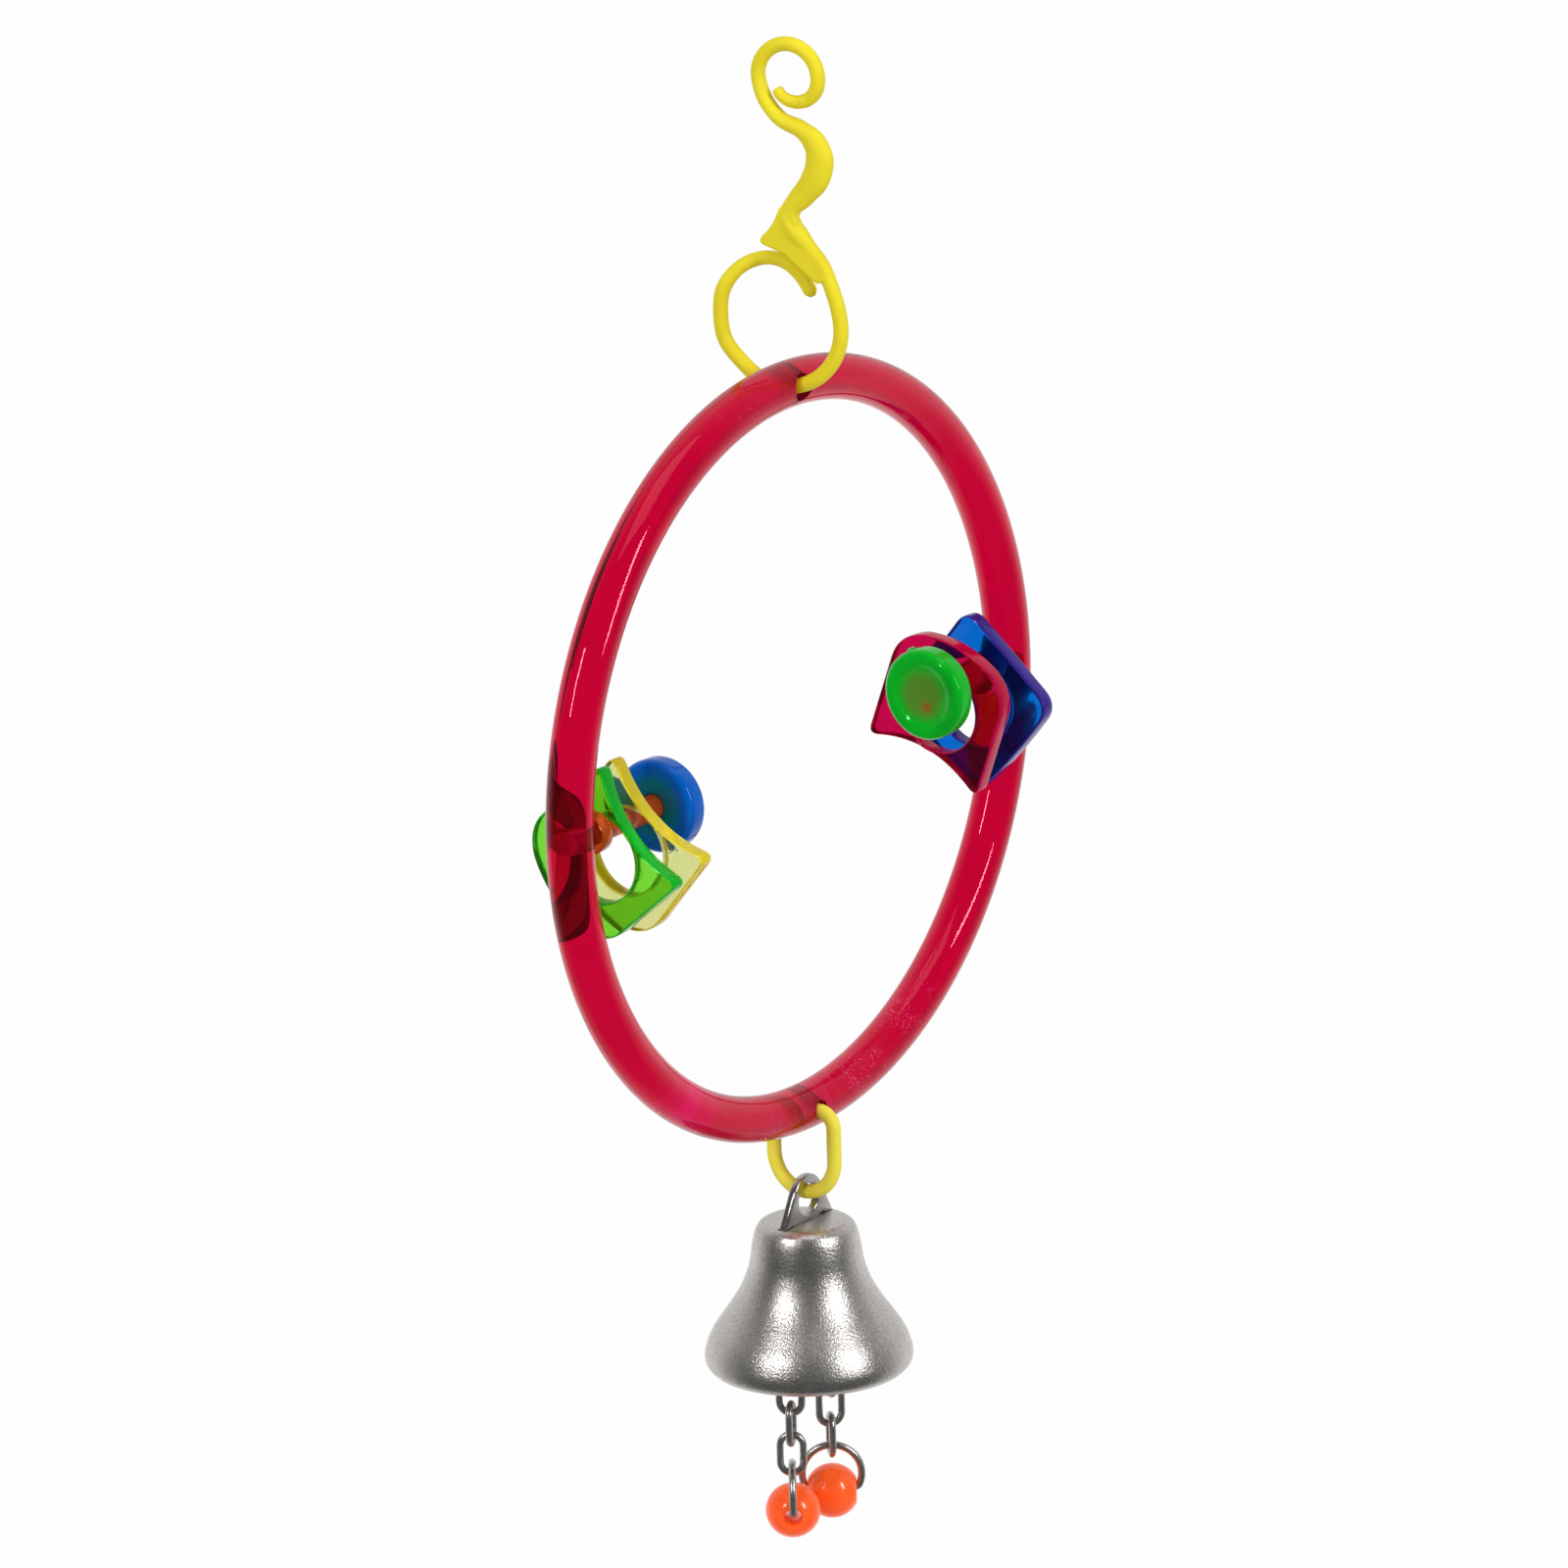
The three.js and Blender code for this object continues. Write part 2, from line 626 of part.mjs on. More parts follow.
// One chain below a leg of the hanger. Each link lies across the one above, and the chain twists.
function addChain(group, letter, x, twist) {
  const turnOf = (element) => (element % 2 ? 0 : Math.PI / 2) + (twist * (element - 1)) / chainLinks;
  for (let k = 1; k <= chainLinks; k += 1) {
    const name = "chain_" + letter + "_link_" + k;
    const top = chainTop - (k - 1) * chainPitch;
    addMesh(group, name, chainLinkGeometry(), steelMaterial, x, 0, top).rotation.z = turnOf(k);
  }
  const turn = turnOf(chainLinks + 1);
  addMesh(group, "bead_bail_" + letter, bailGeometry(), steelMaterial, x, 0, bailCentre).rotation.z = turn;
  addMesh(group, "bead_" + letter, beadGeometry(), beadMaterial, x, 0, beadCentre).rotation.z = turn;
}

const wavyForm = {
  side: wavySide,
  bow: wavyBow,
  holeRise: wavyHoleRise,
  hollowCorner: wavyHollowCorner,
  roundCorner: wavyRoundCorner,
};

const squareForm = {
  side: squareSide,
  bow: squareBow,
  holeRise: squareHoleRise,
  hollowCorner: squareCorner,
  roundCorner: squareCorner,
};

const leftStack = {
  name: "left",
  post: orangePostMaterial,
  cap: blueMaterial,
  gap: leftPlateGap,
  stand: leftPlateStand,
  outer: {
    name: "left_green_plate",
    material: greenMaterial,
    form: wavyForm,
    turn: radians(220),
    lean: radians(-1),
  },
  inner: {
    name: "left_yellow_plate",
    material: yellowMaterial,
    form: wavyForm,
    turn: radians(231),
    lean: radians(22),
  },
};

const rightStack = {
  name: "right",
  post: pinkPostMaterial,
  cap: greenMaterial,
  gap: rightPlateGap,
  stand: rightPlateStand,
  outer: {
    name: "right_blue_plate",
    material: blueMaterial,
    form: squareForm,
    turn: radians(-42),
    lean: radians(-3),
  },
  inner: {
    name: "right_red_plate",
    material: redMaterial,
    form: wavyForm,
    turn: radians(70),
    lean: radians(-22),
  },
};

const perchRing = new THREE.Group();
const hung = new THREE.Group();
hung.position.set(loadLineX, loadLineY, 0);
perchRing.add(hung);
addHook(perchRing);
addRing(hung);
addStack(hung, -1, leftStack);
addStack(hung, 1, rightStack);
addLink(hung);
addBell(hung);
addChain(hung, "a", -legSpread, chainTwistA);
addChain(hung, "b", legSpread, chainTwistB);

export default perchRing;
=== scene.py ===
import math

import bmesh
import bpy
from mathutils import Matrix, Vector


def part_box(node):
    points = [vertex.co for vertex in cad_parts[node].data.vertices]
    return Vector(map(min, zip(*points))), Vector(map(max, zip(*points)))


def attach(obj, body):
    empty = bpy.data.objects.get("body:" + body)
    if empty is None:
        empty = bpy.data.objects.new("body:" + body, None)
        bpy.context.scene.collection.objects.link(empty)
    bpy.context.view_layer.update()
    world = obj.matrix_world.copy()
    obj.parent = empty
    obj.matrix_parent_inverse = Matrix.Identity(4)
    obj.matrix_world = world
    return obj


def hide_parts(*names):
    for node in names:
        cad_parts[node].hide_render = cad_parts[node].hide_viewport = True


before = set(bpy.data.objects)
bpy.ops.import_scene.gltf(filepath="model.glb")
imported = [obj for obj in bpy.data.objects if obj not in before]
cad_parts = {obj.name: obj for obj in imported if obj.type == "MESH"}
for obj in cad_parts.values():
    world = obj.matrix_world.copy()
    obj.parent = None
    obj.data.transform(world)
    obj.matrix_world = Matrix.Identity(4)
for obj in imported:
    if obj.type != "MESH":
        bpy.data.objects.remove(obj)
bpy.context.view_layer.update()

# Hanging hook: one rod of yellow plastic, injection moulded in a flat mould. Its pigtail goes over
# the cage bar, and its loop springs shut behind the barb after it is threaded through the ring.
mm = 0.001
hook_turn = math.radians(10)
pigtail_centre = -4.34
waist_height = -28.85
loop_centre = -47.05
loop_radius = 10.6
loop_offset = 1.9
loop_top = loop_centre + loop_radius
hook_wire = 2.6
tail_start = math.radians(-46)
tail_sweep = math.radians(314)
tail_growth = math.radians(104)
tail_steps = 14
barb_faces = (-1.3, 0.9)
mould_cell = 0.2


def add_node(tree, kind, values=None, **settings):
    node = tree.nodes.new("ShaderNode" + kind)
    for key, value in settings.items():
        setattr(node, key, value)
    for key, value in (values or {}).items():
        if isinstance(value, bpy.types.NodeSocket):
            tree.links.new(value, node.inputs[key])
        else:
            node.inputs[key].default_value = value
    return node


def calculate(tree, operation, *terms):
    return add_node(tree, "Math", dict(enumerate(terms)), operation=operation).outputs[0]


def new_material(name):
    material = bpy.data.materials.new(name)
    material.use_nodes = True
    tree = material.node_tree
    return material, tree, tree.nodes["Principled BSDF"]


def spread(tree, value, low, high, from_low=0.3, from_high=0.7):
    limits = {"Value": value, "From Min": from_low, "From Max": from_high, "To Min": low, "To Max": high}
    return add_node(tree, "MapRange", limits).outputs["Result"]


def blend_colours(tree, mask, first, second):
    node = add_node(tree, "Mix", data_type="RGBA")
    tree.links.new(mask, node.inputs[0])
    for socket, colour in ((node.inputs[6], first), (node.inputs[7], second)):
        if isinstance(colour, bpy.types.NodeSocket):
            tree.links.new(colour, socket)
        else:
            socket.default_value = colour
    return node.outputs[2]


def bumped(tree, height, strength, depth):
    node = add_node(tree, "Bump", {"Height": height, "Strength": strength, "Distance": depth})
    return node.outputs["Normal"]


def finish_shader(tree, shader, constants, **linked):
    for name, value in constants.items():
        shader.inputs[name].default_value = value
    for name, socket in linked.items():
        tree.links.new(socket, shader.inputs[name.replace("_", " ")])


# Marks that every moulded, polished or drawn surface here has: grain, slow mottling, fine scratches
surface_marks = bpy.data.node_groups.new("surface_marks", "ShaderNodeTree")
for socket_name, start in (("Grain Scale", 2000.0), ("Mottle Scale", 90.0), ("Scratch Scale", 160.0)):
    socket = surface_marks.interface.new_socket(socket_name, in_out="INPUT", socket_type="NodeSocketFloat")
    socket.default_value = start
for socket_name in ("Grain", "Mottle", "Scratches"):
    surface_marks.interface.new_socket(socket_name, in_out="OUTPUT", socket_type="NodeSocketFloat")
marks_in = surface_marks.nodes.new("NodeGroupInput")
marks_out = surface_marks.nodes.new("NodeGroupOutput")
marks_place = add_node(surface_marks, "TexCoord").outputs["Object"]
for socket_name in ("Grain", "Mottle"):
    noise = add_node(
        surface_marks,
        "TexNoise",
        {"Vector": marks_place, "Scale": marks_in.outputs[socket_name + " Scale"], "Detail": 3.0},
    )
    surface_marks.links.new(noise.outputs["Fac"], marks_out.inputs[socket_name])
scratch_sets = []
for tilt, stretch in (((0.4, 0.9, 0.3), (1, 1, 26)), ((1.3, 0.2, 1.1), (30, 1, 1))):
    course = add_node(
        surface_marks, "Mapping", {"Vector": marks_place, "Rotation": tilt, "Scale": stretch}
    )
    hair = add_node(
        surface_marks,
        "TexNoise",
        {"Vector": course.outputs["Vector"], "Scale": marks_in.outputs["Scratch Scale"], "Detail": 1.0},
    )
    scratch_sets.append(spread(surface_marks, hair.outputs["Fac"], 0.0, 1.0, 0.70, 0.76))
all_scratches = calculate(surface_marks, "MAXIMUM", *scratch_sets)
surface_marks.links.new(all_scratches, marks_out.inputs["Scratches"])


def add_marks(tree, grain, mottle, scratch):
    node = tree.nodes.new("ShaderNodeGroup")
    node.node_tree = surface_marks
    node.inputs["Grain Scale"].default_value = grain
    node.inputs["Mottle Scale"].default_value = mottle
    node.inputs["Scratch Scale"].default_value = scratch
    return node.outputs


def yellow_plastic_material(name, deep, bright, rubbed):
    material, tree, shader = new_material(name)
    marks = add_marks(tree, 1800.0, 110.0, 190.0)
    mottled = spread(tree, marks["Mottle"], 0.0, 1.0)
    colour = blend_colours(tree, mottled, (*deep, 1), (*bright, 1))
    worn = blend_colours(tree, marks["Scratches"], colour, (*rubbed, 1))
    finish_shader(
        tree,
        shader,
        {"Specular IOR Level": 0.15},
        Base_Color=worn,
        Roughness=spread(tree, marks["Grain"], 0.46, 0.52),
        Normal=bumped(tree, marks["Mottle"], 0.05, 0.0002),
    )
    return material


yellow_plastic = yellow_plastic_material(
    "yellow_plastic", (0.72, 0.60, 0.016), (0.79, 0.68, 0.022), (0.80, 0.70, 0.036)
)


def make_piece(name, points, faces, materials):
    mesh = bpy.data.meshes.new(name)
    mesh.from_pydata([Vector(p) * mm for p in points], [], faces)
    piece = bpy.data.objects.new(name, mesh)
    bpy.context.scene.collection.objects.link(piece)
    for material in materials:
        mesh.materials.append(material)
    soften(piece)
    return piece


def soften(piece, sharp=40):
    mesh = piece.data
    form = bmesh.new()
    form.from_mesh(mesh)
    bmesh.ops.recalc_face_normals(form, faces=form.faces)
    form.to_mesh(mesh)
    form.free()
    mesh.polygons.foreach_set("use_smooth", [True] * len(mesh.polygons))
    mesh.set_sharp_from_angle(angle=math.radians(sharp))


def settle(piece, sharp=40):
    bpy.context.view_layer.update()
    shaped = piece.evaluated_get(bpy.context.evaluated_depsgraph_get())
    old = piece.data
    piece.data = bpy.data.meshes.new_from_object(shaped)
    piece.modifiers.clear()
    bpy.data.meshes.remove(old)
    piece.data.name = piece.name
    soften(piece, sharp)


def fit(piece, body, node):
    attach(piece, body)
    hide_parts(node)


def rod(stations, sides, closed):
    points = []
    faces = []
    count = len(stations)
    for i, (lift, y, z, width, depth) in enumerate(stations):
        before = stations[(i - 1) % count if closed else max(i - 1, 0)]
        after = stations[(i + 1) % count if closed else min(i + 1, count - 1)]
        along = Vector((after[1] - before[1], after[2] - before[2])).normalized()
        for j in range(sides):
            angle = 2 * math.pi * (j + 0.5) / sides
            across = math.cos(angle) * width / 2
            out = lift + math.sin(angle) * depth / 2
            points.append((out, y - along.y * across, z + along.x * across))
    for i in range(count if closed else count - 1):
        here = i * sides
        there = ((i + 1) % count) * sides
        for j in range(sides):
            k = (j + 1) % sides
            faces.append((here + j, here + k, there + k, there + j))
    if not closed:
        faces.append(tuple(range(sides))[::-1])
        faces.append(tuple(range((count - 1) * sides, count * sides)))
    return points, faces


def sweep(u, v, radius, start, end, steps):
    angles = [start + (end - start) * i / steps for i in range(steps + 1)]
    return [(u + radius * math.cos(a), v + radius * math.sin(a)) for a in angles]


def arc(y, z, radius, start, end, steps, wire):
    return [(0, *point, wire, wire) for point in sweep(y, z, radius, start, end, steps)]


def eased(stations, between):
    path = [Vector(s[:3]) for s in stations]
    result = []
    for i in range(len(stations) - 1):
        p1, p2 = path[i], path[i + 1]
        p0 = path[i - 1] if i else 2 * p1 - p2
        p3 = path[i + 2] if i + 2 < len(path) else 2 * p2 - p1
        d0, d1, d2 = (max((b - a).length, 1e-4) ** 0.5 for a, b in ((p0, p1), (p1, p2), (p2, p3)))
        m1 = ((p1 - p0) / d0 - (p2 - p0) / (d0 + d1) + (p2 - p1) / d1) * d1
        m2 = ((p2 - p1) / d1 - (p3 - p1) / (d1 + d2) + (p3 - p2) / d2) * d1
        for k in range(between):
            t = k / between
            place = p1 + m1 * t + (3 * (p2 - p1) - 2 * m1 - m2) * t**2 + (2 * (p1 - p2) + m1 + m2) * t**3
            ease = t * t * (3 - 2 * t)
            width = stations[i][3] + (stations[i + 1][3] - stations[i][3]) * ease
            depth = stations[i][4] + (stations[i + 1][4] - stations[i][4]) * ease
            result.append((*place, width, depth))
    result.append(stations[-1])
    return result


def hook_stations():
    stations = []
    for i in range(tail_steps + 1):
        swept = tail_sweep * i / tail_steps
        grown = min(1, swept / tail_growth)
        radius = 3.1 + 2.4 * grown
        wire = 1.9 + 0.6 * grown
        angle = tail_start - swept
        height = pigtail_centre + radius * math.sin(angle)
        stations.append((0, radius * math.cos(angle), height, wire, wire))
    belly = pigtail_centre - 12.3
    for y, z, width in (
        (4.4, pigtail_centre - 4, 2.5),
        (1.5, belly + 4.9, 2.6),
        (-2.2, belly + 3.4, 3.0),
        (-4.7, belly + 1.2, 4.2),
        (-5.5, belly - 1.6, 5.0),
        (-4.7, belly - 4.7, 5.0),
        (-2.5, belly - 7.6, 4.2),
        (-0.2, waist_height + 2.1, 3.4),
        (0.6, waist_height, 3.4),
    ):
        stations.append((0, y, z, width, 3.0))
    right = loop_offset - loop_radius
    left = loop_offset + loop_radius
    behind = 2.3
    for y, z, wire in (
        (-1.2, loop_top + 5.2, 3.4),
        (-3.4, loop_top + 2.8, hook_wire),
        (-5.5, loop_top + 0.2, hook_wire),
        (right + 1.7, loop_top - 3.2, hook_wire),
        (right + 0.5, loop_top - 6.9, hook_wire),
    ):
        stations.append((0, y, z, wire, wire))
    stations += arc(loop_offset, loop_centre, loop_radius, math.pi, math.radians(316), 9, hook_wire)
    for y, z, wire, lift in (
        (left + 0.3, loop_centre - 3.6, hook_wire, 0),
        (left + 1.1, loop_centre + 0.9, hook_wire, 0),
        (left + 0.4, loop_centre + 5.4, hook_wire, 0),
        (left - 2.6, loop_top - 1.4, 2.4, behind / 3),
        (loop_offset + 4, loop_top + 0.2, 2.4, behind * 0.8),
        (loop_offset + 0.5, loop_top - 0.4, 2.4, behind),
        (loop_offset - 2.2, loop_top - 2.4, 2.4, behind),
        (loop_offset - 4, loop_top - 5, 2.4, behind),
        (loop_offset - 4.5, loop_top - 5.9, 1.2, behind),
    ):
        stations.append((lift, y, z, wire, wire))
    return stations


def relax(piece, rounds):
    smooth = piece.modifiers.new("rounded", "SMOOTH")
    smooth.factor = 0.5
    smooth.iterations = rounds


def bend(start, pull, end, steps):
    line = []
    for i in range(1, steps + 1):
        t = i / steps
        u = 1 - t
        line.append(tuple(u * u * a + 2 * u * t * b + t * t * c for a, b, c in zip(start, pull, end)))
    return line


def barb_outline():
    line = [(1.7, 9.9), (-1, 8.6), (-3.3, 3.6), (-5.9, 0.1)]
    for start, pull, end in (
        ((-5.9, 0.1), (-7, -2.4), (-4.8, -2.8)),
        ((-4.8, -2.8), (-2, -0.6), (1, 1.8)),
        ((3.6, 2.8), (6.4, 3.2), (4.9, 4.8)),
        ((4.9, 4.8), (2.8, 6.6), (1.7, 9.9)),
    ):
        line += bend(start, pull, end, 8)
    return [(y, loop_top + z) for y, z in line[:-1]]


hook_points, hook_faces = rod(eased(hook_stations(), 8), 48, False)
barb_line = barb_outline()
barb_start = len(hook_points)
barb_count = len(barb_line)
for lift in barb_faces:
    hook_points += [(lift, y, z) for y, z in barb_line]
hook_faces.append(tuple(range(barb_start, barb_start + barb_count)))
hook_faces.append(tuple(range(barb_start + barb_count, barb_start + 2 * barb_count))[::-1])
for i in range(barb_count):
    k = (i + 1) % barb_count
    far_start = barb_start + barb_count
    hook_faces.append((barb_start + i, far_start + i, far_start + k, barb_start + k))
turn_hook = Matrix.Rotation(hook_turn, 4, "Z")
hook_points = [turn_hook @ Vector(p) for p in hook_points]
hook = make_piece("hook", hook_points, hook_faces, [yellow_plastic])
mould = make_piece("mould", hook_points, hook_faces, [])
remesh = hook.modifiers.new("moulded", "REMESH")
remesh.mode = "VOXEL"
remesh.voxel_size = mould_cell * mm
relax(hook, 18)
hook.modifiers.new("moulded", "SHRINKWRAP").target = mould
relax(hook, 6)
settle(hook, 180)
bpy.data.objects.remove(mould)
fit(hook, "hanging_hook", "hanging_hook")

# Perch ring: a clear crimson acrylic rod, heated, bent round and butt-joined near the bottom.
# Cross holes for the hook and the link and a blind socket for each post are drilled in it.
ring_low, ring_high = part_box("perch_ring")
ring_centre = (ring_low + ring_high) / 2 / mm
ring_radius = 63.5
tube_radius = 4.0
ring_inner = ring_radius - tube_radius
hook_hole = 2.394
link_hole = 1.65
socket_radius = 2.0
socket_depth = 5.2
drill_reach = 8
post_collar = 3.6
post_foot = math.sqrt(ring_inner**2 - post_collar**2) - 0.2


def fade(tree, value, start, end):
    limits = {"Value": value, "From Min": start, "From Max": end}
    return add_node(tree, "MapRange", limits, interpolation_type="SMOOTHSTEP").outputs["Result"]


def reach_from(tree, spot):
    place = add_node(tree, "TexCoord").outputs["Object"]
    ends = {0: place, 1: Vector(spot) * mm}
    return add_node(tree, "VectorMath", ends, operation="DISTANCE").outputs["Value"]


def glint_colour(colour):
    return (*(0.3 + 0.7 * c / max(colour) for c in colour), 1)


def acrylic(name, colour, clear, dull=0.03, painted_refractions=(), pin=None):
    material, tree, shader = new_material(name)
    marks = add_marks(tree, 900.0, 130.0, 210.0)
    mottled = spread(tree, marks["Mottle"], 1.0, 0.86)
    tint = blend_colours(tree, mottled, (0, 0, 0, 1), (*colour, 1))
    # Painted refraction: each patch paints in the colour of a part that shows through from behind.
    for spot, inside, outside, mark_and_refraction_tint in painted_refractions:
        mask = fade(tree, reach_from(tree, spot), outside * mm, inside * mm)
        tint = blend_colours(tree, mask, tint, (*mark_and_refraction_tint, 1))
    relief = marks["Mottle"]
    if pin:
        spot, radius, mark_and_refraction_tint = pin
        off = calculate(tree, "SUBTRACT", reach_from(tree, spot), radius * mm)
        groove = fade(tree, calculate(tree, "ABSOLUTE", off), 0.28 * mm, 0.12 * mm)
        tint = blend_colours(tree, groove, tint, (*mark_and_refraction_tint, 1))
        relief = calculate(tree, "SUBTRACT", relief, groove)
    scuffed = calculate(tree, "MULTIPLY", marks["Scratches"], 0.16)
    finish_shader(
        tree,
        shader,
        {"Transmission Weight": clear, "IOR": 1.49, "Specular Tint": glint_colour(colour)},
        Base_Color=tint,
        Roughness=calculate(tree, "ADD", scuffed, dull),
        Normal=bumped(tree, relief, 0.10, 0.0004),
    )
    return material


def around(tree, turn, start, end, soft):
    rise = fade(tree, turn, math.radians(start - soft), math.radians(start + soft))
    fall = fade(tree, turn, math.radians(end + soft), math.radians(end - soft))
    return calculate(tree, "MULTIPLY", rise, fall)


crimson = (0.62, 0.0004, 0.036)


def crimson_acrylic_material():
    material, tree, shader = new_material("crimson_acrylic")
    marks = add_marks(tree, 2600.0, 130.0, 210.0)
    place = add_node(tree, "TexCoord").outputs["Object"]
    arm = add_node(tree, "VectorMath", {0: place, 1: ring_centre * mm}, operation="SUBTRACT")
    parts = add_node(tree, "SeparateXYZ", {"Vector": arm.outputs["Vector"]}).outputs
    turn = calculate(tree, "ARCTAN2", parts["Z"], parts["X"])
    mottled = spread(tree, marks["Mottle"], 0.0, 1.0)
    tint = blend_colours(tree, mottled, (*crimson, 1), (*(0.9 * c for c in crimson), 1))
    joint = around(tree, turn, -127.5, -118.5, 0.6)
    tint = blend_colours(tree, joint, tint, (0.72, 0.0005, 0.095, 1))
    sanded = calculate(tree, "MAXIMUM", around(tree, turn, -116, -57, 3), around(tree, turn, 101, 106, 2))
    patchy = calculate(tree, "MULTIPLY", sanded, spread(tree, marks["Mottle"], 1.0, 0.25))
    tint = blend_colours(tree, patchy, tint, (0.58, 0.001, 0.030, 1))
    crowded = calculate(tree, "MULTIPLY", sanded, fade(tree, marks["Mottle"], 0.46, 0.60))
    specks = calculate(tree, "MULTIPLY", crowded, fade(tree, marks["Grain"], 0.57, 0.63))
    tint = blend_colours(tree, specks, tint, (0.90, 0.36, 0.42, 1))
    scuffed = calculate(tree, "MULTIPLY", marks["Scratches"], 0.12)
    dulled = calculate(tree, "MULTIPLY", patchy, 0.07)
    grit = calculate(tree, "MULTIPLY", calculate(tree, "MULTIPLY", sanded, marks["Grain"]), 0.35)
    relief = calculate(tree, "ADD", marks["Mottle"], grit)
    finish_shader(
        tree,
        shader,
        {"Transmission Weight": 0.95, "IOR": 1.49, "Specular Tint": glint_colour(crimson)},
        Base_Color=tint,
        Roughness=calculate(tree, "ADD", calculate(tree, "ADD", scuffed, dulled), 0.025),
        Normal=bumped(tree, relief, 0.14, 0.0004),
    )
    return material


crimson_acrylic = crimson_acrylic_material()


def lathe(profile, steps, closed=False):
    points = []
    faces = []
    count = len(profile)
    for i in range(steps):
        angle = 2 * math.pi * i / steps
        for radius, height in profile:
            points.append((radius * math.cos(angle), radius * math.sin(angle), height))
    for i in range(steps):
        here = i * count
        there = ((i + 1) % steps) * count
        for j in range(count if closed else count - 1):
            k = (j + 1) % count
            faces.append((here + j, there + j, there + k, here + k))
    return points, faces


def weld(piece, sharp=40):
    form = bmesh.new()
    form.from_mesh(piece.data)
    bmesh.ops.remove_doubles(form, verts=form.verts, dist=1e-6)
    bmesh.ops.dissolve_degenerate(form, edges=form.edges, dist=1e-7)
    form.to_mesh(piece.data)
    form.free()
    soften(piece, sharp)


def cut(piece, cutters, sharp=40):
    for cutter in cutters:
        hole = piece.modifiers.new("cut", "BOOLEAN")
        hole.operation = "DIFFERENCE"
        hole.object = cutter
    settle(piece, sharp)
    for cutter in cutters:
        bpy.data.objects.remove(cutter)


def drill(radius, start, end):
    start, end = Vector(start), Vector(end)
    length = (end - start).length
    points, faces = lathe([(0, 0), (radius, 0), (radius, length), (0, length)], 48)
    aim = (end - start).to_track_quat("Z", "Y").to_matrix()
    cutter = make_piece("drill", [start + aim @ Vector(p) for p in points], faces, [])
    weld(cutter)
    return cutter


ring_points = []
ring_steps, ring_sides = 240, 40
for i in range(ring_steps):
    angle = 2 * math.pi * i / ring_steps
    for j in range(ring_sides):
        lean = 2 * math.pi * j / ring_sides
        reach = ring_radius + tube_radius * math.cos(lean)
        spot = Vector((reach * math.cos(angle), tube_radius * math.sin(lean), reach * math.sin(angle)))
        ring_points.append(ring_centre + spot)
ring_faces = []
for i in range(ring_steps):
    for j in range(ring_sides):
        a, b = i * ring_sides, (i + 1) % ring_steps * ring_sides
        k = (j + 1) % ring_sides
        ring_faces.append((a + j, a + k, b + k, b + j))
ring = make_piece("ring", ring_points, ring_faces, [crimson_acrylic])
ring_drills = []
drill_travel = Vector((0, drill_reach, 0))
for radius, height in ((hook_hole, ring_radius), (link_hole, -ring_radius)):
    middle = ring_centre + Vector((0, 0, height))
    ring_drills.append(drill(radius, middle - drill_travel, middle + drill_travel))
for side in (-1, 1):
    start = ring_centre + Vector((side * (ring_inner - tube_radius), 0, 0))
    end = ring_centre + Vector((side * (post_foot + socket_depth), 0, 0))
    ring_drills.append(drill(socket_radius, start, end))
cut(ring, ring_drills)
weld(ring)
# Painted light: the drilled walls get a brighter crimson than the rod to cancel the shade inside the
# holes; their higher roughness is the drilled finish.
ring.data.materials.append(acrylic("drilled_wall", (0.80, 0.002, 0.060), 0.95, 0.5))
for polygon in ring.data.polygons:
    spot = polygon.center / mm - ring_centre
    depth = tube_radius - math.hypot(math.hypot(spot.x, spot.z) - ring_radius, spot.y)
    polygon.material_index = depth > 0.1
fit(ring, "ring_frame", "perch_ring")

# Posts: short turned acrylic rods, orange on the left and pink on the right. A collar stands
# against the ring, a spigot is glued in its socket, and the plates hang loose on the thin shaft.
post_shaft = 2.2
spigot_radius = 1.8
collar_start = post_foot - 3
spigot_end = post_foot + 5
orange_acrylic = acrylic("orange_acrylic", (0.78, 0.13, 0.014), 0.6)
pink_acrylic = acrylic("pink_acrylic", (0.82, 0.010, 0.150), 0.35)


def along_post(points, side):
    return [ring_centre + Vector((side * z, y, x)) for x, y, z in points]


for side, name, material, slot in (
    (-1, "left", orange_acrylic, "orange_acrylic"),
    (1, "right", pink_acrylic, "pink_acrylic"),
):
    post_low, post_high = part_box(name + "_post")
    tip = min(abs(post_low.x / mm - ring_centre.x), abs(post_high.x / mm - ring_centre.x))
    post_profile = [
        (0, tip),
        (post_shaft - 0.15, tip),
        (post_shaft, tip + 0.15),
        (post_shaft, collar_start),
        (post_collar - 0.3, collar_start),
        (post_collar - 0.1, collar_start + 0.1),
        (post_collar, collar_start + 0.3),
        (post_collar, post_foot - 0.2),
        (post_collar - 0.1, post_foot),
        (spigot_radius, post_foot),
        (spigot_radius, spigot_end - 0.15),
        (spigot_radius - 0.15, spigot_end),
        (0, spigot_end),
    ]
    post_points, post_faces = lathe(post_profile, 48)
    post = make_piece(name + "_post_rod", along_post(post_points, side), post_faces, [material])
    weld(post, 30)
    fit(post, "ring_frame", name + "_post")

# Plates: moulded acrylic tiles with a big round hole, three of them wavy squares with one hollow and
# one bowed side, and the blue one nearly square. Each hangs loose by its hole on a post's shaft.
# Their edges look deeper in colour than their faces, and the mould's ejector pins leave round marks.
plate_width = 24.1
plate_thickness = 3.0
plate_hole = 15.0
wavy_form = (20.5, 3.5, 11.5, 2.4, 4.7)
square_form = (23.2, 0.6, 11.9, 3.7, 3.7)
plate_play = 0.2
plate_slack = plate_hole / 2 - post_shaft - plate_play
plate_rounding = 0.45


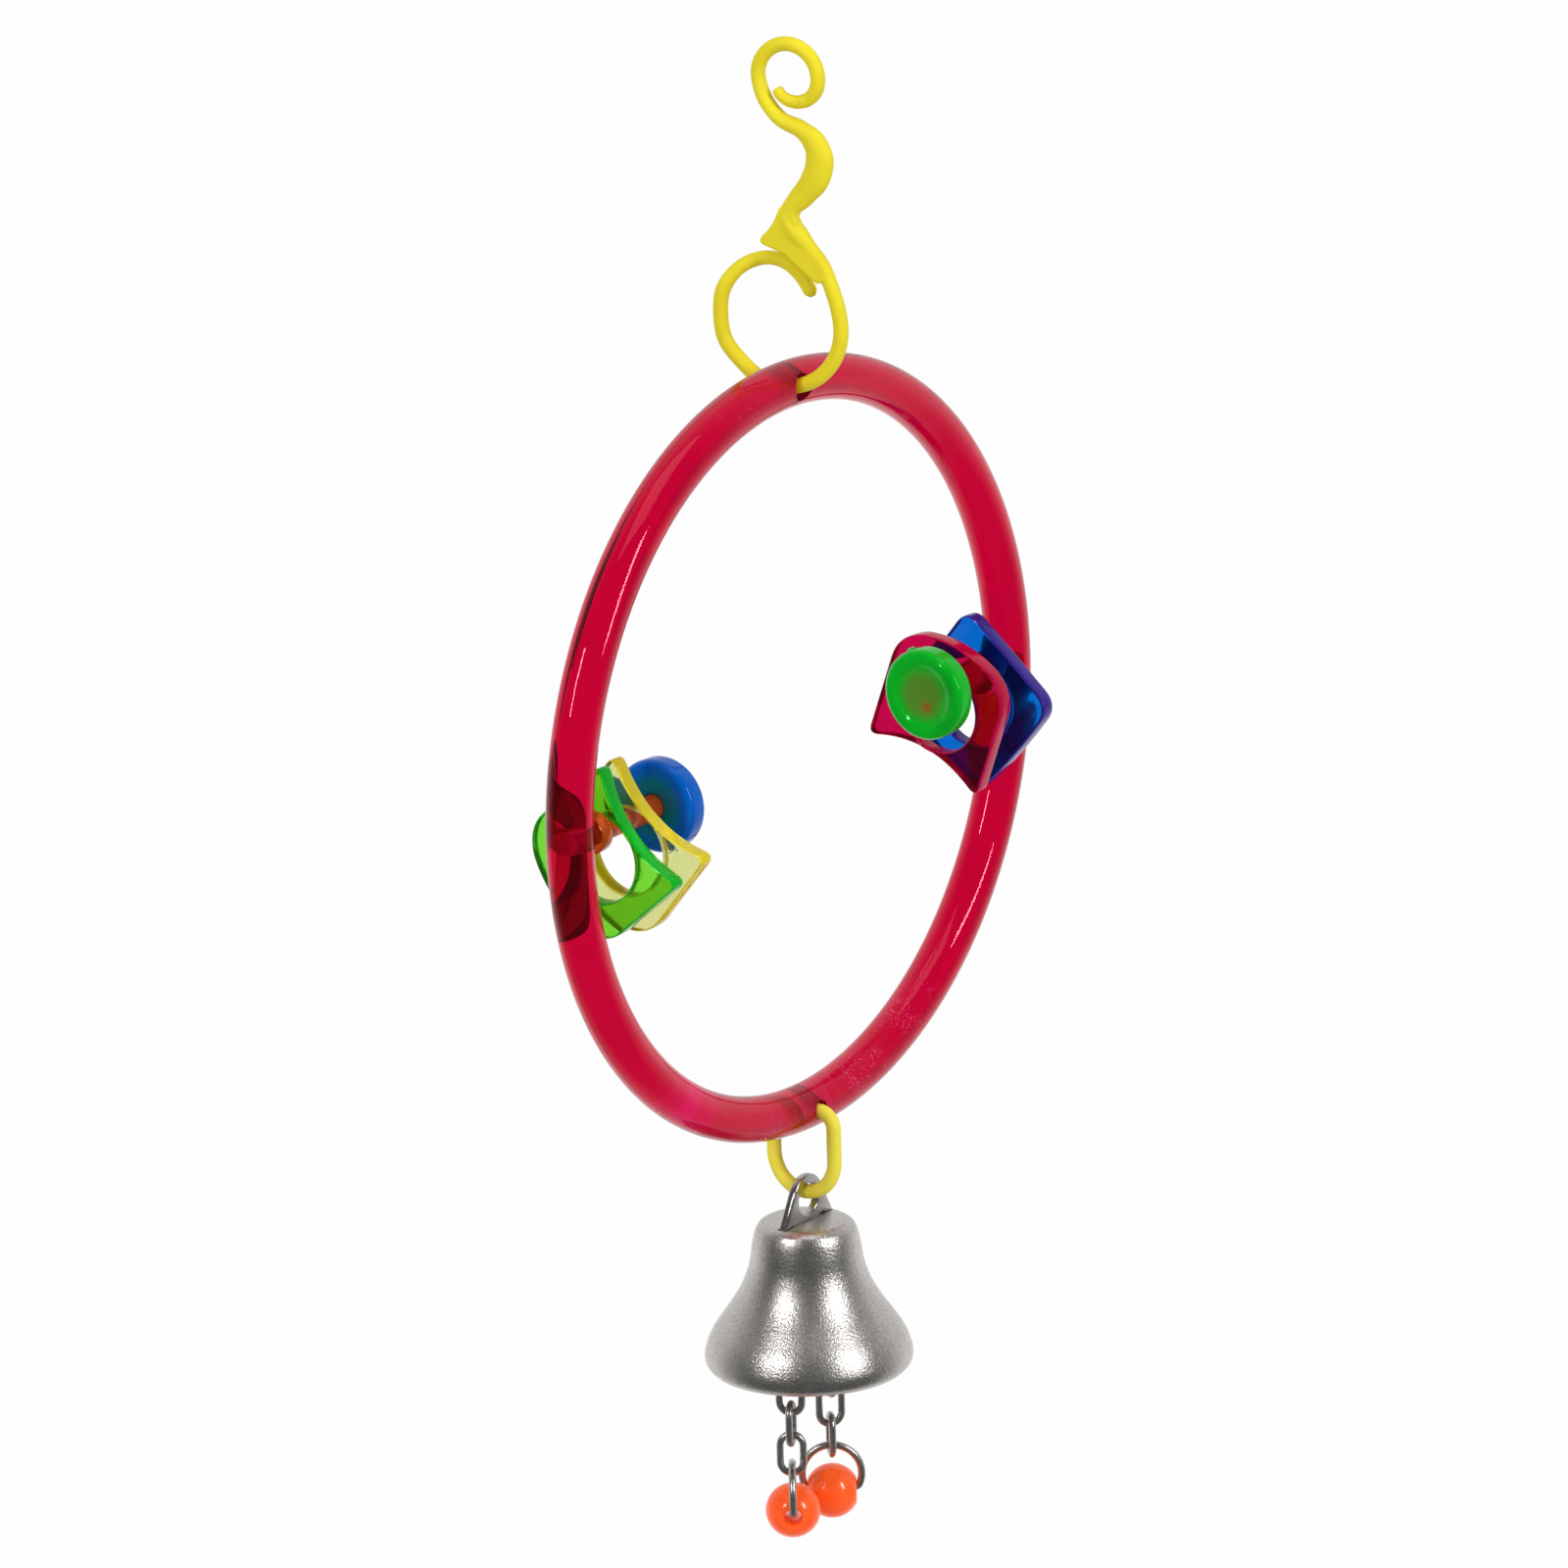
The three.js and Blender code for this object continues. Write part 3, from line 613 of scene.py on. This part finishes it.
def stamped(name, outline, holes, thickness, rounding, materials):
    curve = bpy.data.curves.new(name, "CURVE")
    curve.dimensions = "2D"
    curve.fill_mode = "BOTH"
    curve.extrude = (thickness / 2 - rounding) * mm
    curve.bevel_depth = rounding * mm
    curve.bevel_resolution = 3
    curve.offset = -rounding * mm
    for line in (outline, *holes):
        spline = curve.splines.new("POLY")
        spline.points.add(len(line) - 1)
        for point, (u, v) in zip(spline.points, line):
            point.co = (u * mm, v * mm, 0, 1)
        spline.use_cyclic_u = True
    blank = bpy.data.objects.new(name, curve)
    bpy.context.scene.collection.objects.link(blank)
    bpy.context.view_layer.update()
    shaped = blank.evaluated_get(bpy.context.evaluated_depsgraph_get())
    mesh = bpy.data.meshes.new_from_object(shaped)
    bpy.data.objects.remove(blank)
    bpy.data.curves.remove(curve)
    mesh.name = name
    piece = bpy.data.objects.new(name, mesh)
    bpy.context.scene.collection.objects.link(piece)
    mesh.materials.clear()
    for material in materials:
        mesh.materials.append(material)
    weld(piece, 35)
    return piece


def circle(u, v, radius, steps):
    return sweep(u, v, radius, 0, 2 * math.pi, steps)[:-1]


def plate_outline(form):
    plate_side, plate_bow, plate_hole_rise, hollow_corner, round_corner = form
    half = plate_width / 2
    low, high = half - hollow_corner, half - round_corner
    dip = plate_bow * (1 - (low / half) ** 2)
    dip_pull = plate_bow * (1 + (low / half) ** 2)
    crest = plate_side + plate_bow * (1 - (high / half) ** 2)
    crest_pull = plate_side + plate_bow * (1 + (high / half) ** 2)
    line = bend((-low, dip), (0, dip_pull), (low, dip), 24)
    line += bend((low, dip), (half, 0), (half, hollow_corner), 10)
    line += [(half, plate_side - round_corner)]
    line += bend((half, plate_side - round_corner), (half, plate_side), (high, crest), 12)
    line += bend((high, crest), (0, crest_pull), (-high, crest), 20)
    line += bend((-high, crest), (-half, plate_side), (-half, plate_side - round_corner), 12)
    line += [(-half, hollow_corner)]
    line += bend((-half, hollow_corner), (-half, 0), (-low, dip), 10)
    return [(u, v - plate_hole_rise) for u, v in line]


for name, form, turn, lean, slot, face, edge, pin in (
    (
        "left_green",
        wavy_form,
        220,
        -1,
        "green_acrylic",
        (0.200, 0.800, 0.045),
        (0.002, 0.580, 0.022),
        ((-7.44, -6.04), 1.6, (0.075, 0.520, 0.030)),
    ),
    (
        "left_yellow",
        wavy_form,
        231,
        22,
        "yellow_acrylic",
        (0.800, 0.820, 0.330),
        (0.900, 0.740, 0.026),
        ((-10.42, -2.17), 1.7, (0.900, 0.900, 0.650)),
    ),
    (
        "right_blue",
        square_form,
        -42,
        -3,
        "blue_acrylic",
        (0.002, 0.165, 0.720),
        (0.050, 0.024, 0.330),
        None,
    ),
    (
        "right_red",
        wavy_form,
        70,
        -22,
        "red_acrylic",
        (0.620, 0.001, 0.070),
        (0.680, 0.004, 0.070),
        None,
    ),
):
    plate_low, plate_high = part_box(name + "_plate")
    if pin:
        (pin_y, pin_z), pin_radius, pin_tint = pin
        pin_spot = Vector((plate_low.x / mm, ring_centre.y + pin_y, ring_centre.z + pin_z))
        pin = (pin_spot, pin_radius, pin_tint)
    face_material = acrylic(name + "_face", face, 0.95, pin=pin)
    edge_material = acrylic(name + "_edge", edge, 0.40)
    plate = stamped(
        name + "_tile",
        plate_outline(form),
        [circle(0, 0, plate_hole / 2, 72)],
        plate_thickness,
        plate_rounding,
        [face_material, edge_material],
    )
    for polygon in plate.data.polygons:
        polygon.material_index = 0 if abs(polygon.normal.z) > 0.98 else 1
    spin, tip = math.radians(turn), math.radians(lean)
    across = Vector((0, -math.sin(spin), -math.cos(spin)))
    up = Vector((0, -math.cos(spin), math.sin(spin)))
    out = Vector((-1, 0, 0))
    seat = ring_centre + Vector((0, -plate_slack * math.sin(tip), -plate_slack * math.cos(tip)))
    seat.x = (plate_low.x + plate_high.x) / 2 / mm
    place = Matrix((across, up, out)).transposed().to_4x4()
    plate.data.transform(Matrix.Translation(seat * mm) @ place)
    fit(plate, name + "_plate", name + "_plate")

# Caps: moulded acrylic discs with a dished face, blue on the left and green on the right. Each is
# glued on a post's free end, and a trimmed moulding gate is left on its edge. Each centre is painted
# with a refraction of the post behind: a darker core, and a spot where the post's tip shows through.
quarter = math.pi / 2
cap_radius = 8.0
cap_thickness = 4.5
cap_fillet = 1.2
cap_shoulder = cap_radius - cap_fillet
cap_dish = [(0, 0.5), (4.6, 0.5), (5.0, 0.42), (5.4, 0.2), (5.8, 0.0)]
cap_bore = 2.4
cap_bore_floor = 1.5
cap_profile = cap_dish + sweep(cap_shoulder, cap_fillet, cap_fillet, -quarter, 0, 8)
cap_profile += sweep(cap_shoulder, cap_thickness - cap_fillet, cap_fillet, 0, quarter, 8)
cap_profile += [(cap_bore, cap_thickness), (cap_bore, cap_bore_floor), (0, cap_bore_floor)]
gate_root = cap_radius - 0.6
gate_profile = [
    (0, gate_root),
    (0.9, gate_root),
    (0.75, cap_radius + 0.2),
    (0.5, cap_radius + 0.38),
    (0, cap_radius + 0.4),
]
for side, name, slot, gate_turn, core_reach, colour, post_refraction, post_tip_refraction in (
    (
        -1,
        "left",
        "blue_acrylic",
        -40,
        6.6,
        (0.001, 0.140, 0.660),
        (0.002, 0.190, 0.250),
        (0.010, 0.200, 0.140),
    ),
    (
        1,
        "right",
        "green_acrylic",
        65,
        5.4,
        (0.004, 0.620, 0.026),
        (0.125, 0.330, 0.030),
        (0.380, 0.135, 0.018),
    ),
):
    cap_low, cap_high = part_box(name + "_cap")
    cap_face = min(abs(cap_low.x / mm - ring_centre.x), abs(cap_high.x / mm - ring_centre.x))
    cap_points, cap_faces = lathe([(r, cap_face + h) for r, h in cap_profile], 72)
    cap_middle = ring_centre + Vector((side * cap_face, 0, 0))
    core_middle = cap_middle if side > 0 else cap_middle - Vector((cap_thickness, 0, 0))
    # Painted refraction: the post behind shows through the disc as a darker core, and its tip as a small
    # spot.
    painted_refractions = (
        (core_middle, core_reach - 2.6, core_reach, post_refraction),
        (core_middle + Vector((0, -0.83, -2.02)), 0.3, 1.7, post_tip_refraction),
    )
    cap_material = acrylic(name + "_cap_acrylic", colour, 0.30, painted_refractions=painted_refractions)
    cap = make_piece(name + "_cap_disc", along_post(cap_points, side), cap_faces, [cap_material])
    weld(cap, 35)
    fit(cap, "ring_frame", name + "_cap")
    gate_points, gate_faces = lathe(gate_profile, 20)
    gate_lean = Matrix.Rotation(math.radians(gate_turn), 3, "X") @ Matrix.Rotation(-quarter, 3, "X")
    gate_seat = ring_centre + Vector((side * (cap_face + cap_thickness / 2), 0, 0))
    gate_points = [gate_seat + gate_lean @ Vector(p) for p in gate_points]
    gate = make_piece(name + "_cap_gate", gate_points, gate_faces, [cap_material])
    weld(gate, 35)
    fit(gate, "ring_frame", name + "_cap")

# Bell link: a split link of a slightly paler yellow plastic than the hook. It is bent open, threaded
# through the ring's lower hole, and its two ends spring together inside the hole.
pale_plastic = yellow_plastic_material(
    "pale_plastic", (0.86, 0.73, 0.060), (0.92, 0.81, 0.080), (0.94, 0.84, 0.120)
)
link_low, link_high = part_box("bell_link")
link_wire = 2.5
link_half = 6.3
link_corner = 2.9
link_gap = 0.35
link_top = link_high.z / mm - link_wire / 2
link_bend = link_low.z / mm + link_wire / 2 + link_half
link_side = link_half - link_corner
link_stations = [(0, link_gap / 2, link_top, link_wire, link_wire)]
link_stations += arc(link_side, link_top - link_corner, link_corner, quarter, 0, 12, link_wire)
link_stations += arc(0, link_bend, link_half, 0, -math.pi, 40, link_wire)
link_stations += arc(-link_side, link_top - link_corner, link_corner, math.pi, quarter, 12, link_wire)
link_stations += [(0, -link_gap / 2, link_top, link_wire, link_wire)]
link_points, link_faces = rod(link_stations, 24, False)
hung = Vector((ring_centre.x, ring_centre.y, 0))
link = make_piece("link", [hung + Vector(p) for p in link_points], link_faces, [pale_plastic])
fit(link, "bell_link", "bell_link")


# Bell hanger: a punched steel strip, barrel-polished bright. Its eye stands on the bell's crown, and
# two legs go down through slots in the crown to an eye for each chain.
def wire_steel_material(name, colour, smooth, dull):
    material, tree, shader = new_material(name)
    marks = add_marks(tree, 1400.0, 260.0, 330.0)
    mottled = spread(tree, marks["Mottle"], 0.0, 1.0)
    tone = blend_colours(tree, mottled, (*colour, 1), (*(0.82 * c for c in colour), 1))
    scratched = blend_colours(tree, marks["Scratches"], tone, (*(0.6 * c for c in colour), 1))
    finish_shader(
        tree,
        shader,
        {"Metallic": 1.0},
        Base_Color=scratched,
        Roughness=spread(tree, marks["Grain"], smooth, dull),
        Normal=bumped(tree, marks["Mottle"], 0.15, 0.0001),
    )
    return material


bright_steel = wire_steel_material("bright_steel", (0.56, 0.54, 0.51), 0.14, 0.26)
hanger_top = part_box("bell_hanger")[1].z / mm
hanger_eye = 2.65
eye_outer = hanger_eye + 1.7
hanger_centre = hanger_top - eye_outer
leg_spread = 5.8
leg_half = 1.1
foot_outer = 1.95
foot_eye = 1.3
strip_thickness = 1.5
strip_rounding = 0.4
crown_drop = 3.75
hanger_base = 0.2 - crown_drop
hanger_foot = -crown_drop - 4.15
hanger_corner = leg_spread + leg_half
neck = math.acos(leg_half / foot_outer)
corner_reach = math.hypot(hanger_base, hanger_corner)
tangent = math.atan2(hanger_base, hanger_corner) + math.acos(eye_outer / corner_reach)
strip = sweep(leg_spread, hanger_foot, foot_outer, math.pi - neck, 2 * math.pi + neck, 28)
strip += [(hanger_corner, hanger_base)]
strip += sweep(0, 0, eye_outer, tangent, math.pi - tangent, 28)
strip += [(-hanger_corner, hanger_base)]
strip += sweep(-leg_spread, hanger_foot, foot_outer, math.pi - neck, 2 * math.pi + neck, 28)
strip += [(leg_half - leg_spread, hanger_base), (leg_spread - leg_half, hanger_base)]
strip_holes = [circle(0, 0, hanger_eye, 48)]
strip_holes += [circle(side * leg_spread, hanger_foot, foot_eye, 32) for side in (-1, 1)]
hanger = stamped("hanger", strip, strip_holes, strip_thickness, strip_rounding, [bright_steel])
stand = Matrix.Translation((hung + Vector((0, 0, hanger_centre))) * mm) @ Matrix.Rotation(quarter, 4, "X")
hanger.data.transform(stand)
fit(hanger, "bell", "bell_hanger")


# Bell: pressed from sheet metal to an even wall with a rolled lip, then plated and blasted to a
# satin grain. Two slots in its crown take the hanger's legs.
def satin_metal_material():
    material, tree, shader = new_material("satin_metal")
    marks = add_marks(tree, 2800.0, 70.0, 240.0)
    mottled = spread(tree, marks["Mottle"], 0.0, 1.0)
    tone = blend_colours(tree, mottled, (0.66, 0.633, 0.60, 1), (0.74, 0.712, 0.675, 1))
    sparkle = spread(tree, marks["Grain"], 0.0, 1.0, 0.38, 0.66)
    pitted = blend_colours(tree, sparkle, (0.48, 0.458, 0.43, 1), tone)
    finish_shader(
        tree,
        shader,
        {"Metallic": 1.0},
        Base_Color=pitted,
        Roughness=spread(tree, marks["Mottle"], 0.30, 0.35),
        Normal=bumped(tree, marks["Grain"], 0.40, 0.00018),
    )
    return material


satin_metal = satin_metal_material()
crown_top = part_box("bell_shell")[1].z / mm
bell_wall = 1.0
slot_long, slot_wide, slot_deep = 1.3, 0.95, 3
bell_outline = [(5.6, 0), (7.2, 0.2), (8.25, 0.9), (8.8, 2.0), (9.3, 4.1), (9.9, 7.8), (11.2, 11.5)]
bell_outline += [(12.9, 14.5), (14.9, 17.4), (16.6, 20), (17.55, 22.3), (17.9, 24), (17.65, 25.3)]
bell_outline += [(16.9, 26.2)]


def bell_profile(outline, wall, between):
    outer = []
    for station in eased([(r, depth, 0, 0, 0) for r, depth in outline], between):
        outer.append(Vector(station[:2]))
    inner = []
    for i, point in enumerate(outer):
        along = (outer[min(i + 1, len(outer) - 1)] - outer[max(i - 1, 0)]).normalized()
        inner.append(point + Vector((-along.y, along.x)) * wall)
    lip = []
    middle = (outer[-1] + inner[-1]) / 2
    arm = outer[-1] - middle
    for k in range(1, 8):
        lip.append(middle + Matrix.Rotation(math.pi * k / 8, 2) @ arm)
    hollow = [p for p in inner if p.y > wall]
    crown_edge = Vector((outline[0][0] - wall, wall))
    return [Vector((0, 0))] + outer + lip + hollow[::-1] + [crown_edge, Vector((0, wall))]


bell_line = [(r, crown_top - depth) for r, depth in bell_profile(bell_outline, bell_wall, 6)]
bell_points, bell_faces = lathe(bell_line, 128)
bell = make_piece("bell_cup", [hung + Vector(p) for p in bell_points], bell_faces, [satin_metal])
weld(bell, 45)
slots = []
for side in (-1, 1):
    ends, sides = (-slot_long, slot_long), (-slot_wide, slot_wide)
    corners = [(x, y, z) for x in ends for y in sides for z in (-slot_deep, 1)]
    centre = hung + Vector((side * leg_spread, 0, crown_top))
    box_faces = [(0, 1, 3, 2), (4, 6, 7, 5), (0, 4, 5, 1), (2, 3, 7, 6), (0, 2, 6, 4), (1, 5, 7, 3)]
    slots.append(make_piece("slot", [centre + Vector(c) for c in corners], box_faces, []))
cut(bell, slots, 45)
fit(bell, "bell", "bell_shell")

# Bead chains: welded links of bright steel wire, each lying across the one above, so that each chain
# twists as it hangs. A D-shaped wire bail closes each chain and carries its bead.
chain_wire = 1.25
chain_length = 7.0
chain_half = 2.0
chain_links = 7
chains = (("a", -leg_spread, 36), ("b", leg_spread, -54))
chain_steel = wire_steel_material("chain_steel", (0.62, 0.60, 0.57), 0.24, 0.38)


def hung_below(points, x, degrees):
    turn = Matrix.Rotation(math.radians(degrees), 4, "Z")
    return [hung + Vector((x, 0, 0)) + turn @ Vector(p) for p in points]


for letter, x, twist in chains:
    for k in range(1, chain_links + 1):
        node = f"chain_{letter}_link_{k}"
        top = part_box(node)[1].z / mm - chain_wire / 2
        stations = arc(0, top - chain_half, chain_half, 0, math.pi, 20, chain_wire)
        low_bend = top + chain_half - chain_length
        stations += arc(0, low_bend, chain_half, math.pi, 2 * math.pi, 20, chain_wire)
        points, faces = rod(stations, 16, True)
        degrees = (0 if k % 2 else 90) + twist * (k - 1) / chain_links
        points = hung_below(points, x, degrees)
        link_piece = make_piece(f"chain_{letter}_wire_{k}", points, faces, [chain_steel])
        fit(link_piece, node, node)

# Bead bails: the same steel wire bent to most of a circle and closed by a straight bar. The round
# part hangs in the last link, and the bar passes through the bead.
bail_wire = 1.3
bail_radius = 5.15
bail_chord = 2.6
bail_corner = 1.0
bail_rise = bail_corner - bail_chord
bail_out = math.sqrt((bail_radius - bail_corner) ** 2 - bail_rise**2)
bail_leave = math.atan2(bail_rise, bail_out)
for letter, x, twist in chains:
    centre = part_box("bead_bail_" + letter)[1].z / mm - bail_wire / 2 - bail_radius
    stations = arc(0, centre, bail_radius, bail_leave, math.pi - bail_leave, 60, bail_wire)
    level = centre + bail_rise
    start, end = math.pi - bail_leave, math.pi + quarter
    stations += arc(-bail_out, level, bail_corner, start, end, 10, bail_wire)[1:]
    stations += arc(bail_out, level, bail_corner, -quarter, bail_leave, 10, bail_wire)[:-1]
    points, faces = rod(stations, 16, True)
    points = hung_below(points, x, 90 + twist)
    bail = make_piece("bail_" + letter, points, faces, [chain_steel])
    fit(bail, "bead_bail_" + letter, "bead_bail_" + letter)


# Beads: glossy neon orange plastic balls with flat ends, moulded with a bore. A faint painted glow
# stands in for the brightness of the neon dye. Each is threaded on a bail's straight bar and turns
# freely on it.
def bead_material():
    material, tree, shader = new_material("orange_bead")
    marks = add_marks(tree, 1500.0, 240.0, 220.0)
    mottled = spread(tree, marks["Mottle"], 0.0, 1.0)
    colour = blend_colours(tree, mottled, (1.0, 0.095, 0.012, 1), (1.0, 0.125, 0.020, 1))
    # Painted glow: a faint orange emission brightens the beads under any light, for the neon dye's
    # fluorescence.
    finish_shader(
        tree,
        shader,
        {"Emission Color": (1.0, 0.10, 0.012, 1), "Emission Strength": 0.18},
        Base_Color=colour,
        Roughness=spread(tree, marks["Grain"], 0.12, 0.22),
        Normal=bumped(tree, marks["Mottle"], 0.10, 0.0002),
    )
    return material


orange_bead = bead_material()
bead_radius = 4.75
bead_half = 4.2
bead_hole = 1.5
bead_rounding = 0.25
bead_chamfer = 0.06
bead_edge = math.asin(bead_half / bead_radius)
bead_mouth = [
    (bead_hole + bead_rounding, bead_half),
    (bead_hole + bead_chamfer, bead_half - bead_chamfer),
    (bead_hole, bead_half - bead_rounding),
]
bead_profile = sweep(0, 0, bead_radius, -bead_edge, bead_edge, 24)
bead_profile += bead_mouth + [(radius, -height) for radius, height in bead_mouth[::-1]]
bead_points, bead_faces = lathe(bead_profile, 56, True)
for letter, x, twist in chains:
    low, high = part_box("bead_" + letter)
    centre = (low.z + high.z) / 2 / mm
    turn = Matrix.Rotation(math.radians(90 + twist), 4, "Z") @ Matrix.Rotation(quarter, 4, "X")
    spot = hung + Vector((x, 0, centre))
    points = [spot + turn @ Vector(p) for p in bead_points]
    bead = make_piece("bead_ball_" + letter, points, bead_faces, [orange_bead])
    fit(bead, "bead_" + letter, "bead_" + letter)

# Studio floor: pale matt paper well below the hanging toy. It runs out to a white backdrop on the far
# side, and the room on the camera's side is darker. From underneath it is clear and hides nothing.
scene = bpy.context.scene
scene.view_settings.view_transform = "Standard"
away = Vector((0.808, 0.589, 0))
room_dark = 0.10


def backdrop(tree, way):
    heading = add_node(tree, "VectorMath", {0: way}, operation="NORMALIZE").outputs["Vector"]
    toward = add_node(tree, "VectorMath", {0: heading, 1: away}, operation="DOT_PRODUCT").outputs["Value"]
    room = spread(tree, toward, room_dark, 1.0, -0.15, 0.55)
    path = add_node(tree, "LightPath").outputs
    seen_through = calculate(tree, "MAXIMUM", path["Is Camera Ray"], path["Is Transmission Ray"])
    return calculate(tree, "MAXIMUM", room, seen_through)


def seen_white(tree):
    path = add_node(tree, "LightPath").outputs
    mirrored = calculate(tree, "MAXIMUM", path["Is Glossy Ray"], path["Is Transmission Ray"])
    return calculate(tree, "MAXIMUM", path["Is Camera Ray"], mirrored)


floor_mesh = bpy.data.meshes.new("floor")
floor_size, floor_height = 12.0, -1.1
floor_mesh.from_pydata(
    [(x * floor_size, y * floor_size, floor_height) for x, y in ((-1, -1), (1, -1), (1, 1), (-1, 1))],
    [],
    [(0, 1, 2, 3)],
)
floor = bpy.data.objects.new("floor", floor_mesh)
scene.collection.objects.link(floor)
floor_material, floor_tree, floor_shader = new_material("floor_paper")
floor_marks = add_marks(floor_tree, 40.0, 2.0, 3.0)
paper_tones = (0.90, 0.90, 0.90, 1), (0.93, 0.93, 0.93, 1)
floor_tone = blend_colours(floor_tree, floor_marks["Mottle"], *paper_tones)
floor_tree.links.new(floor_tone, floor_shader.inputs["Base Color"])
floor_shader.inputs["Roughness"].default_value = 0.9
floor_white = backdrop(floor_tree, add_node(floor_tree, "TexCoord").outputs["Object"])
floor_glow = add_node(floor_tree, "Emission", {"Color": (1, 1, 1, 1), "Strength": floor_white})
floor_share = calculate(floor_tree, "MULTIPLY", seen_white(floor_tree), 0.97)
floor_mix = add_node(floor_tree, "MixShader", {0: floor_share})
floor_tree.links.new(floor_shader.outputs[0], floor_mix.inputs[1])
floor_tree.links.new(floor_glow.outputs[0], floor_mix.inputs[2])
underside = add_node(floor_tree, "NewGeometry").outputs["Backfacing"]
floor_clear = add_node(floor_tree, "MixShader", {0: underside})
floor_tree.links.new(floor_mix.outputs[0], floor_clear.inputs[1])
floor_tree.links.new(add_node(floor_tree, "BsdfTransparent").outputs[0], floor_clear.inputs[2])
floor_tree.links.new(floor_clear.outputs[0], floor_tree.nodes["Material Output"].inputs["Surface"])
floor_mesh.materials.append(floor_material)

# Camera: the photograph's place, to the left of the ring's front and a little above it, with a long
# lens from about two metres away.
camera_data = bpy.data.cameras.new("camera")
camera_data.lens = 270
camera_data.sensor_width = 36
camera_data.clip_end = 60
camera = bpy.data.objects.new("camera", camera_data)
camera_right = Vector((0.58282, -0.81225, -0.02398))
camera_up = Vector((0.24348, 0.1464, 0.95879))
camera_back = Vector((-0.77527, -0.56464, 0.28309))
camera_place = ring_centre + Vector((-1542.742, -1121.278, 556.752))
camera_turn = Matrix((camera_right, camera_up, camera_back)).transposed().to_4x4()
camera.matrix_world = Matrix.Translation(camera_place * mm) @ camera_turn
scene.collection.objects.link(camera)
scene.camera = camera

# Studio light: soft even daylight, two tall softboxes on the camera's side and a wide one overhead.
# Mirror-like surfaces see a slightly darker ceiling than the white backdrop.
world = bpy.data.worlds.new("studio")
scene.world = world
world.use_nodes = True
world_tree = world.node_tree
glossy = add_node(world_tree, "LightPath").outputs["Is Glossy Ray"]
ceiling = spread(world_tree, glossy, 1.0, 0.8, 0.0, 1.0)
world_way = add_node(world_tree, "TexCoord").outputs["Generated"]
shown = calculate(world_tree, "MULTIPLY", backdrop(world_tree, world_way), ceiling)
daylight = 0.58
lit = add_node(world_tree, "Mix", {0: seen_white(world_tree), 2: daylight, 3: shown}, data_type="FLOAT")
world_tree.nodes["Background"].inputs["Color"].default_value = (1, 1, 1, 1)
world_tree.links.new(lit.outputs[0], world_tree.nodes["Background"].inputs["Strength"])

target = ring_centre * mm
for name, aside, above, back, width, height, power in (
    ("left_softbox", -0.66, 0.48, 0.73, 0.08, 0.34, 3.6),
    ("right_softbox", 0.80, 0.46, 0.62, 0.12, 0.50, 5.2),
    ("top_softbox", 0.0, 1.0, 0.2, 0.6, 0.6, 2.0),
):
    lamp_data = bpy.data.lights.new(name, "AREA")
    lamp_data.shape = "RECTANGLE"
    lamp_data.size, lamp_data.size_y = width, height
    lamp_data.energy = power
    lamp = bpy.data.objects.new(name, lamp_data)
    offset = camera_right * aside + Vector((0, 0, above)) - away * back
    lamp.location = target + offset
    lamp.rotation_euler = (-offset).to_track_quat("-Z", "Y").to_euler()
    scene.collection.objects.link(lamp)
